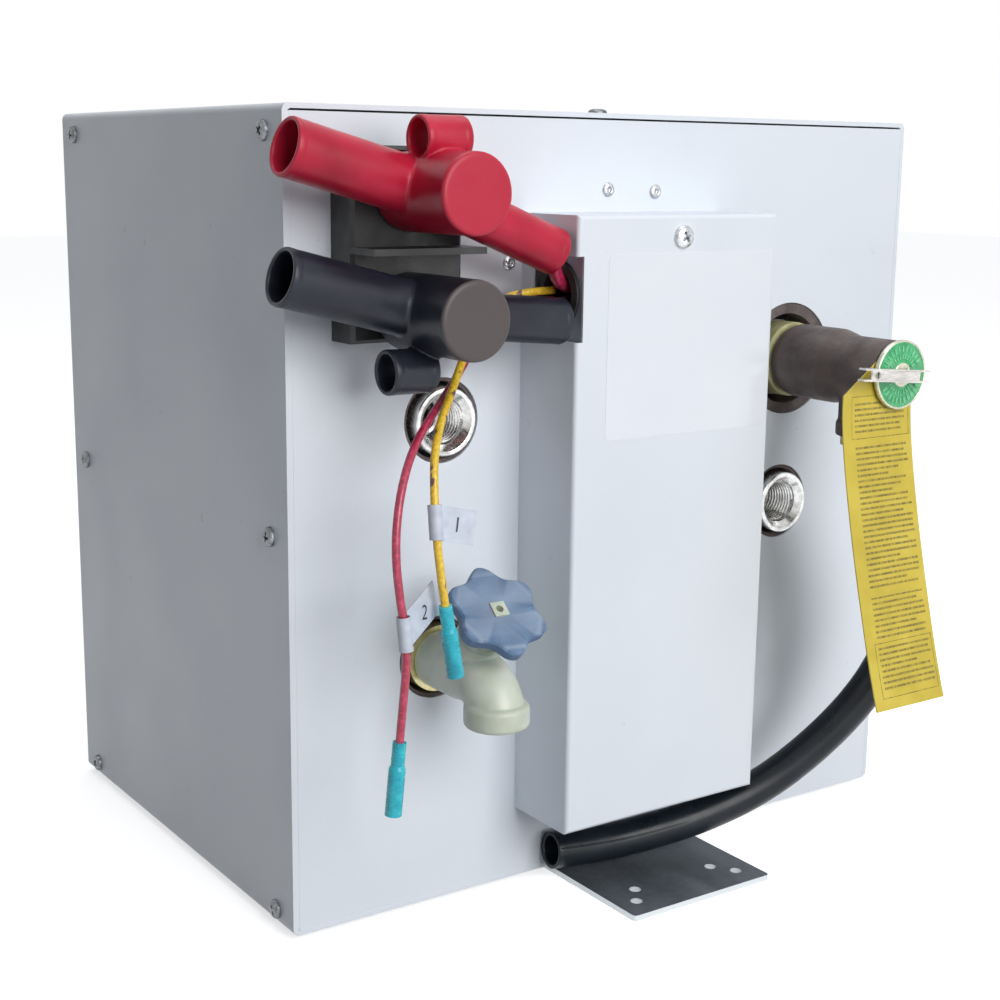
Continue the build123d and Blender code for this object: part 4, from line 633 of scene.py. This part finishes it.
def pipe_thread(name, place):
    """Female thread as one helical band, running inwards from height 0."""
    shape = bmesh.new()
    columns = []
    for k in range(int(thread_deep / thread_pitch) * thread_steps + 1):
        angle = 2 * pi * k / thread_steps
        start = -thread_pitch * k / thread_steps
        columns.append([shape.verts.new((r * MM * cos(angle), r * MM * sin(angle), (start - thread_pitch * h) * MM))
                        for r, h in thread_profile])
    for first, second in zip(columns, columns[1:]):
        for j in range(len(thread_profile) - 1):
            shape.faces.new((first[j], first[j + 1], second[j + 1], second[j]))
    for k in range(len(columns) - thread_steps - 1):
        after = k + thread_steps
        shape.faces.new((columns[k][-1], columns[after][0], columns[after + 1][0], columns[k + 1][-1]))
    bmesh.ops.recalc_face_normals(shape, faces=shape.faces)
    mesh = meshed(name, shape)
    crisp(mesh, 40.0)
    mesh.transform(place)
    return mesh


for node, name, x, z in port_places:
    socket = lathe(name + "_socket", port_profile, aimed((x, panel_front, z), FRONT), 72, closed=True)
    crisp(socket, 25.0)
    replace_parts(keep(name + "_socket", socket, turned_steel), node)
    keep(name + "_thread", pipe_thread(name + "_thread", aimed((x, panel_front - thread_start, z), FRONT)),
         turned_steel)

# Foam poured between tank and box, seen in the gaps of the holes as cut cells. Its colour is a dark mauve grey-brown:
# the foam's own colour darkened with painted shade of the holes' depths.
# dark colours: painted shade of the holes laid over the foam's own colour
foam = surface("foam", [(0.070, 0.055, 0.055), (0.125, 0.100, 0.100), (0.19, 0.16, 0.155)], 160.0, (0.8, 0.95),
               (700.0, 0.7, 0.8))
dress(foam, "foam_front", "foam_rear")

# Drain valve: milky nylon body screwed into a brass bush, its corners rounded by the mould.
brass = surface("brass", [(0.36, 0.28, 0.11), (0.60, 0.52, 0.26), (0.78, 0.74, 0.48)], 150.0, (0.28, 0.5),
                (900.0, 0.15, 0.2), 0.85)
dress(brass, "drain_bush", "hose_barb", "relief_stem", "element_plug")
nylon = surface("nylon", [(0.46, 0.52, 0.42), (0.60, 0.65, 0.55), (0.70, 0.74, 0.66)], 55.0, (0.28, 0.44),
                (130.0, 0.25, 0.4), Subsurface_Weight=0.4, Subsurface_Scale=0.005, Coat_Weight=0.15,
                Coat_Roughness=0.25)
softened("drain_body", "drain_shell", 0.5, 8, nylon)
dress(nylon, "drain_bonnet", "drain_spindle")

# Drain knob: blue-grey moulded plastic with six lobes, faintly streaked and paler on its sharp convex edges.
knob_plastic = surface("knob_plastic", [(0.045, 0.100, 0.205), (0.070, 0.145, 0.275), (0.12, 0.21, 0.36)], 70.0,
                       (0.34, 0.5), (400.0, 0.25, 0.3), 0.0, (1.0, 1.0, 3.0))
# paler colour on sharp convex edges, picked by the mesh's pointiness
edge_pointiness = knob_plastic.node_tree.nodes.new("ShaderNodeNewGeometry")
overlay(knob_plastic, (0.52, 0.60, 0.70), ramp(knob_plastic, edge_pointiness.outputs["Pointiness"],
                                               [(0.53, (0.0, 0.0, 0.0)), (0.64, (1.0, 1.0, 1.0))]))
dress(knob_plastic, "drain_knob")

# Relief valve: cast bronze body, brown and rough, screwed on a brass nipple with a collar in the panel's hole.
valve_x = 95.9
valve_z = 223.8
bronze = surface("bronze", [(0.070, 0.052, 0.048), (0.120, 0.092, 0.084), (0.190, 0.155, 0.145)], 70.0,
                 (0.40, 0.62), (420.0, 0.5, 0.6), 0.35)
softened("relief_body", "relief_casting", 0.6, 10, bronze)
nipple_brass = surface("nipple_brass", [(0.30, 0.28, 0.13), (0.44, 0.42, 0.22), (0.56, 0.54, 0.32)], 120.0,
                       (0.42, 0.6), (500.0, 0.3, 0.3), 0.3)
nipple_profile = [(9.0, -30.0), (12.8, -30.0), (13.0, -29.5), (13.0, -9.0), (16.6, -8.0), (17.2, -7.0), (17.2, 3.2),
                  (16.4, 4.4), (13.2, 4.7), (13.0, 5.4), (13.0, 13.6), (12.6, 13.9), (9.0, 13.9)]
nipple = lathe("valve_nipple", nipple_profile, aimed((valve_x, panel_front, valve_z), FRONT), 64, closed=True)
crisp(nipple, 30.0)
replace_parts(keep("valve_nipple", nipple, nipple_brass), "relief_nipple")

# Cap of the relief valve: pressed disc with a rolled rim, green enamel over an embossed ring of plain ticks.
cap_back = 67.5
cap_reach = 15.0
enamel = surface("enamel", [(0.018, 0.26, 0.075), (0.035, 0.40, 0.14), (0.13, 0.56, 0.27)], 210.0, (0.22, 0.42),
                 (380.0, 0.5, 0.4), Coat_Weight=0.4, Coat_Roughness=0.15)
enamel_pale = surface("enamel_pale", [(0.10, 0.50, 0.22), (0.26, 0.66, 0.40)], 300.0, (0.25, 0.45),
                      (500.0, 0.3, 0.2), Coat_Weight=0.3, Coat_Roughness=0.2)
bare_rim = surface("bare_rim", [(0.52, 0.52, 0.40), (0.78, 0.78, 0.66)], 320.0, (0.24, 0.4),
                   (1000.0, 0.15, 0.1), 0.6)
cap_place = aimed((valve_x, panel_front - cap_back, valve_z), FRONT)
cap_disc = lathe("valve_cap", [(1.6, 0.0), (cap_reach - 0.8, 0.0), (cap_reach - 0.35, 0.2), (cap_reach - 0.35, 1.9),
                               (cap_reach - 0.9, 2.1), (6.0, 2.1), (5.4, 2.5), (1.6, 2.5)], cap_place, 72,
                 closed=True)
crisp(cap_disc, 35.0)
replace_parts(keep("valve_cap", cap_disc, enamel), "relief_cap")
keep("cap_rim", lathe("cap_rim", [(cap_reach - 0.95, 2.05), (cap_reach - 0.75, 2.4), (cap_reach - 0.35, 2.5),
                                  (cap_reach + 0.05, 2.2), (cap_reach + 0.1, 0.5), (cap_reach - 0.1, 0.1),
                                  (cap_reach - 0.9, 0.0), (cap_reach - 0.95, 0.1)], cap_place, 72, closed=True),
     bare_rim)
keep("cap_hub", lathe("cap_hub", [(5.3, 2.45), (5.2, 2.8), (4.7, 2.95), (2.2, 2.95), (1.62, 2.6)], cap_place, 48),
     bare_rim)
ticks = bmesh.new()
tick_steps = 30
tick_base = 2.0
tick_high = 0.45
lever_shade = 0.34
for k in range(tick_steps):
    angle = 2 * pi * (k + 0.5) / tick_steps
    if abs(sin(angle)) < lever_shade:
        continue
    for low, high, half in ((10.0, 12.6, 0.45), (6.9, 8.6, 0.4)):
        bar = bmesh.ops.create_cube(ticks, size=1.0)["verts"]
        for vert in bar:
            reach = low + (high - low) * (vert.co.x + 0.5)
            across = 2 * half * vert.co.y * (0.7 if vert.co.z > 0 else 1.0)
            vert.co = Vector((reach * cos(angle) - across * sin(angle), reach * sin(angle) + across * cos(angle),
                              tick_base + tick_high * (vert.co.z + 0.5))) * MM
ticks_mesh = meshed("cap_ticks", ticks)
ticks_mesh.transform(cap_place)
keep("cap_ticks", ticks_mesh, enamel_pale)

# Test lever: channel of pressed stainless strip, pinned through the stem, forked at both ends.
strip = surface("strip", [(0.50, 0.48, 0.46), (0.68, 0.65, 0.62), (0.84, 0.81, 0.79)], 160.0, (0.20, 0.38),
                (900.0, 0.12, 0.1), 0.85, (1.0, 1.0, 5.0))
dress(strip, "lever_pin", "relief_spring")
lever_roll = radians(4.6)
lever_half = 2.75
lever_sheet = 0.8
web_back = 75.2
web_front = 76.0
flange_back = 72.3
lever_left = -29.5
web_left = -25.0
web_right = 4.8
lever_right = 11.0
eye_x = -21.5
eye_radius = 1.6
eye_steps = 20
ear_half = 4.2
ear_back = 70.8
lever = bmesh.new()
for sign in (-1, 1):
    outer, inner = sign * lever_half, sign * (lever_half - lever_sheet)
    slab(lever, (lever_left, -web_front, min(outer, inner)), (lever_right, -flange_back, max(outer, inner)))
    slab(lever, (-ear_half, -flange_back - 0.01, min(outer, inner)), (ear_half, -ear_back, max(outer, inner)))
web_half = lever_half - lever_sheet
for left, right in ((web_left, eye_x - web_half), (eye_x + web_half, web_right)):
    slab(lever, (left, -web_front, -web_half - 0.05), (right, -web_back, web_half + 0.05))
rings = []
for depth in (-web_front, -web_back):
    square, hole = [], []
    for k in range(eye_steps):
        angle = 2 * pi * (k + 0.5) / eye_steps
        reach = web_half / max(abs(cos(angle)), abs(sin(angle)))
        square.append(lever.verts.new(((eye_x + reach * cos(angle)) * MM, depth * MM, reach * sin(angle) * MM)))
        hole.append(lever.verts.new(((eye_x + eye_radius * cos(angle)) * MM, depth * MM,
                                     eye_radius * sin(angle) * MM)))
    rings.append((square, hole))
(front_square, front_hole), (back_square, back_hole) = rings
for k in range(eye_steps):
    after = (k + 1) % eye_steps
    lever.faces.new((front_square[k], front_square[after], front_hole[after], front_hole[k]))
    lever.faces.new((back_square[k], back_hole[k], back_hole[after], back_square[after]))
    lever.faces.new((front_hole[k], front_hole[after], back_hole[after], back_hole[k]))
bmesh.ops.recalc_face_normals(lever, faces=lever.faces)
lever_mesh = meshed("valve_lever", lever)
lever_mesh.transform(Matrix.Translation((valve_x * MM, panel_front * MM, valve_z * MM))
                     @ Matrix.Rotation(lever_roll, 4, "Y"))
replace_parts(keep("valve_lever", lever_mesh, strip, "relief_handle"), "relief_lever")

# Hang tag: coated yellow card behind the valve's cap, left blank but for ruled lines and two printed frames.
card = surface("card", [(0.52, 0.40, 0.030), (0.61, 0.47, 0.045), (0.68, 0.54, 0.075)], 60.0, (0.32, 0.5),
               (60.0, 0.25, 0.5), Coat_Weight=0.12, Coat_Roughness=0.3)
tag_left = 64.4
tag_right = 106.4
line_pitch = 2.35
line_share = 0.42
ruled_blocks = ((199.0, 213.5), (133.0, 195.0), (112.0, 130.0), (90.5, 109.0))
frame_blocks = ((197.0, 215.5), (88.0, 111.0))
frame_wide = 0.4
card_tree = card.node_tree.nodes
card_place = card_tree.new("ShaderNodeTexCoord")
card_parts = card_tree.new("ShaderNodeSeparateXYZ")
link(card, card_place.outputs["Object"], card_parts.inputs["Vector"])


def reckon(made, operation, first, second):
    """Math node between two values, each a socket or a plain number."""
    node = made.node_tree.nodes.new("ShaderNodeMath")
    node.operation = operation
    for socket, value in zip(node.inputs, (first, second)):
        if isinstance(value, (int, float)):
            socket.default_value = value
        else:
            link(made, value, socket)
    return node.outputs["Value"]


def between(made, value, low, high):
    """1 where a value lies between two places, otherwise 0."""
    return reckon(made, "MULTIPLY", reckon(made, "GREATER_THAN", value, low), reckon(made, "LESS_THAN", value, high))


card_x = card_parts.outputs["X"]
card_z = card_parts.outputs["Z"]
line_number = reckon(card, "DIVIDE", card_z, line_pitch * MM)
line_here = reckon(card, "LESS_THAN", reckon(card, "FRACT", line_number, 0.0), line_share)
line_seed = card_tree.new("ShaderNodeTexWhiteNoise")
line_seed.noise_dimensions = "1D"
link(card, reckon(card, "FLOOR", line_number, 0.0), line_seed.inputs["W"])
short_by = reckon(card, "MULTIPLY", reckon(card, "POWER", line_seed.outputs["Value"], 4.0), 14.0 * MM)
line_end = reckon(card, "SUBTRACT", (tag_right - 3.0) * MM, short_by)
within = reckon(card, "MULTIPLY", reckon(card, "GREATER_THAN", card_x, (tag_left + 7.0) * MM),
                reckon(card, "LESS_THAN", card_x, line_end))
in_block = between(card, card_z, ruled_blocks[0][0] * MM, ruled_blocks[0][1] * MM)
for low, high in ruled_blocks[1:]:
    in_block = reckon(card, "ADD", in_block, between(card, card_z, low * MM, high * MM))
lines = reckon(card, "MULTIPLY", reckon(card, "MULTIPLY", line_here, within), in_block)
frames = None
for low, high in frame_blocks:
    outside = reckon(card, "MULTIPLY", between(card, card_z, low * MM, high * MM),
                     between(card, card_x, (tag_left + 5.0) * MM, (tag_right - 1.6) * MM))
    inside = reckon(card, "MULTIPLY", between(card, card_z, (low + frame_wide) * MM, (high - frame_wide) * MM),
                    between(card, card_x, (tag_left + 5.0 + frame_wide) * MM, (tag_right - 1.6 - frame_wide) * MM))
    edge = reckon(card, "SUBTRACT", outside, inside)
    frames = edge if frames is None else reckon(card, "ADD", frames, edge)
ink_patchy = ramp(card, noise(card, 900.0, 3.0, (1.0, 1.0, 0.3)), [(0.35, (0.35, 0.35, 0.35)), (0.6, (1.0, 1.0, 1.0))])
inked = reckon(card, "MULTIPLY", reckon(card, "MINIMUM", reckon(card, "ADD", lines, frames), 1.0), ink_patchy)
overlay(card, (0.10, 0.075, 0.012), reckon(card, "MULTIPLY", inked, 0.82))
tag_curve = ((0.0, 229.8), (0.0, 206.0), (4.6, 176.5), (14.8, 132.5), (29.0, 83.5))
tag_back = 66.3
tag_thick = 0.6
tag_rows = 56
tag_columns = 14
tag_hole = 3.9


def tag_swing(z):
    """How far the card has swung out of its upright at a height."""
    slopes = [0.0]
    for before, after in zip(tag_curve, tag_curve[2:]):
        slopes.append((after[0] - before[0]) / (after[1] - before[1]))
    slopes.append(-29.0 / 83.0)
    for k in range(len(tag_curve) - 1):
        (low_swing, low), (high_swing, high) = tag_curve[k + 1], tag_curve[k]
        if z >= low or k == len(tag_curve) - 2:
            span = high - low
            t = (z - low) / span
            return ((2 * t ** 3 - 3 * t ** 2 + 1) * low_swing + (t ** 3 - 2 * t ** 2 + t) * span * slopes[k + 1]
                    + (3 * t ** 2 - 2 * t ** 3) * high_swing + (t ** 3 - t ** 2) * span * slopes[k])


tag_top, tag_low = tag_curve[0][1], tag_curve[-1][1]
sheet = bmesh.new()
layers = []
for depth in (0.0, tag_thick):
    grid = []
    for row in range(tag_rows + 1):
        z = tag_top + (tag_low - tag_top) * row / tag_rows
        grid.append([sheet.verts.new(((tag_left + (tag_right - tag_left) * c / tag_columns) * MM,
                                      (panel_front - tag_back - tag_swing(z) - depth) * MM, z * MM))
                     for c in range(tag_columns + 1)])
    layers.append(grid)
for grid in layers:
    for upper, lower in zip(grid, grid[1:]):
        for c in range(tag_columns):
            sheet.faces.new((upper[c], upper[c + 1], lower[c + 1], lower[c]))
back, front = layers
rim = ([(back[0][c], front[0][c]) for c in range(tag_columns + 1)]
       + [(back[r][-1], front[r][-1]) for r in range(1, tag_rows + 1)]
       + [(back[-1][c], front[-1][c]) for c in range(tag_columns - 1, -1, -1)]
       + [(back[r][0], front[r][0]) for r in range(tag_rows - 1, 0, -1)])
for k in range(len(rim)):
    (a, b), (c, d) = rim[k], rim[(k + 1) % len(rim)]
    sheet.faces.new((a, b, d, c))
bmesh.ops.recalc_face_normals(sheet, faces=sheet.faces)
blank = placed("tag_sheet", meshed("tag_sheet", sheet))
hole_steps = 24
hole_outline = [(valve_x + tag_hole * cos(2 * pi * k / hole_steps), valve_z + tag_hole * sin(2 * pi * k / hole_steps))
                for k in range(hole_steps)]
cut_back = panel_front - tag_back + 3.0
cut_front = panel_front - tag_back - 5.0
cut_tools = [placed("cut_%d" % k, prism("cut_%d" % k, outline, cut_back, cut_front)) for k, outline in enumerate((
    hole_outline,
    ((tag_left - 1.0, tag_top + 1.0), (tag_left + 20.0, tag_top + 1.0), (tag_left + 18.7, tag_top),
     (tag_left, tag_top - 13.7), (tag_left - 1.0, tag_top - 14.4)),
    ((tag_right + 1.0, tag_top + 1.0), (tag_right - 7.0, tag_top + 1.0), (tag_right - 6.0, tag_top),
     (tag_right, tag_top - 4.0), (tag_right + 1.0, tag_top - 4.6))))]
for tool in cut_tools:
    cut_by(blank, tool)
tag_mesh = applied("tag_card", blank, *cut_tools)
crisp(tag_mesh, 35.0)
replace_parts(keep("tag_card", tag_mesh, card), "hang_tag")

# Tank, sockets and dip tubes inside the foam: welded mill steel, bare and dark.
mill_steel = surface("mill_steel", [(0.22, 0.20, 0.19), (0.36, 0.35, 0.34), (0.48, 0.47, 0.46)], 70.0,
                     (0.38, 0.55), (600.0, 0.2, 0.2), 1.0)
dress(mill_steel, "tank_barrel", "tank_front_head", "tank_rear_head", "hot_pickup_tube", "cold_inlet_tube",
      "element_socket", "relief_socket", "drain_socket")

# Element and reset button of the thermostat: a nickel sheath in the water, a red button on the case.
sheath = surface("sheath", [(0.36, 0.32, 0.27), (0.60, 0.56, 0.50)], 300.0, (0.28, 0.42), (700.0, 0.15, 0.2), 1.0)
dress(sheath, "element_loop")
button_red = surface("button_red", [(0.42, 0.02, 0.015), (0.62, 0.05, 0.03)], 400.0, (0.3, 0.42),
                     (600.0, 0.1, 0.1))
dress(button_red, "reset_button")

# Studio: pale floor that shows white to the camera and keeps a faint shadow, soft light from above the front.
floor_half = 6.0
floor_mesh = bpy.data.meshes.new("floor")
floor_mesh.from_pydata([(-floor_half, -floor_half, 0), (floor_half, -floor_half, 0), (floor_half, floor_half, 0),
                        (-floor_half, floor_half, 0)], [], [(0, 1, 2, 3)])
floor = placed("floor", floor_mesh)
floor_paper = surface("floor_paper", [(0.24, 0.245, 0.255), (0.27, 0.275, 0.285)], 4.0, (0.85, 0.95),
                      (200.0, 0.05, 0.2))
floor_tree = floor_paper.node_tree.nodes
floor_seen = floor_tree.new("ShaderNodeLightPath")
seen = reckon(floor_paper, "MINIMUM", reckon(floor_paper, "ADD", floor_seen.outputs["Is Camera Ray"], reckon(
    floor_paper, "ADD", floor_seen.outputs["Is Glossy Ray"], floor_seen.outputs["Is Transmission Ray"])), 1.0)
floor_glow = floor_tree.new("ShaderNodeEmission")
floor_glow.inputs["Color"].default_value = (1.0, 1.0, 1.0, 1.0)
link(floor_paper, reckon(floor_paper, "MULTIPLY", seen, 0.62), floor_glow.inputs["Strength"])
floor_both = floor_tree.new("ShaderNodeAddShader")
link(floor_paper, floor_tree["Principled BSDF"].outputs["BSDF"], floor_both.inputs[0])
link(floor_paper, floor_glow.outputs["Emission"], floor_both.inputs[1])
link(floor_paper, floor_both.outputs["Shader"], floor_tree["Material Output"].inputs["Surface"])
overlay(floor_paper, (0.90, 0.90, 0.91), seen)
floor_mesh.materials.append(floor_paper)

world = bpy.data.worlds.new("studio")
bpy.context.scene.world = world
world.use_nodes = True
sky_nodes = world.node_tree.nodes
sky_way = sky_nodes.new("ShaderNodeTexCoord")
sky_parts = sky_nodes.new("ShaderNodeSeparateXYZ")
link(world, sky_way.outputs["Generated"], sky_parts.inputs["Vector"])
sky_side = sky_nodes.new("ShaderNodeMapRange")
sky_side.inputs["From Min"].default_value = -1.0
sky_side.inputs["From Max"].default_value = 1.0
sky_side.inputs["To Min"].default_value = 0.07
sky_side.inputs["To Max"].default_value = 0.58
link(world, sky_parts.outputs["X"], sky_side.inputs["Value"])
sky_background = sky_nodes["Background"]
sky_background.inputs["Color"].default_value = (0.90, 0.95, 1.0, 1.0)
link(world, sky_side.outputs["Result"], sky_background.inputs["Strength"])
sky_white = sky_nodes.new("ShaderNodeBackground")
sky_white.inputs["Color"].default_value = (1.0, 1.0, 1.0, 1.0)
sky_white.inputs["Strength"].default_value = 1.0
sky_seen = sky_nodes.new("ShaderNodeLightPath")
sky_direct = reckon(world, "MAXIMUM", sky_seen.outputs["Is Camera Ray"], sky_seen.outputs["Is Transmission Ray"])
sky_mix = sky_nodes.new("ShaderNodeMixShader")
link(world, reckon(world, "MAXIMUM", sky_direct, sky_seen.outputs["Is Glossy Ray"]), sky_mix.inputs["Fac"])
link(world, sky_background.outputs["Background"], sky_mix.inputs[1])
link(world, sky_white.outputs["Background"], sky_mix.inputs[2])
link(world, sky_mix.outputs["Shader"], sky_nodes["World Output"].inputs["Surface"])


def area_light(name, place, target, size, power, colour):
    """Soft rectangular light aimed at a point."""
    data = bpy.data.lights.new(name, "AREA")
    data.shape = "RECTANGLE"
    data.size = size
    data.size_y = size
    data.energy = power
    data.color = colour
    light = placed(name, data)
    way = Vector(target) - Vector(place)
    light.matrix_world = Matrix.Translation(place) @ way.to_track_quat("-Z", "Y").to_matrix().to_4x4()


area_light("key", (0.05, -2.1, 1.0), (0.0, -0.1, 0.17), 1.5, 38.0, (1.0, 0.99, 0.975))
area_light("top", (0.1, 0.1, 1.8), (0.0, 0.0, 0.3), 1.2, 7.0, (1.0, 1.0, 1.0))
bpy.context.scene.view_settings.view_transform = "Standard"
bpy.context.scene.view_settings.look = "None"
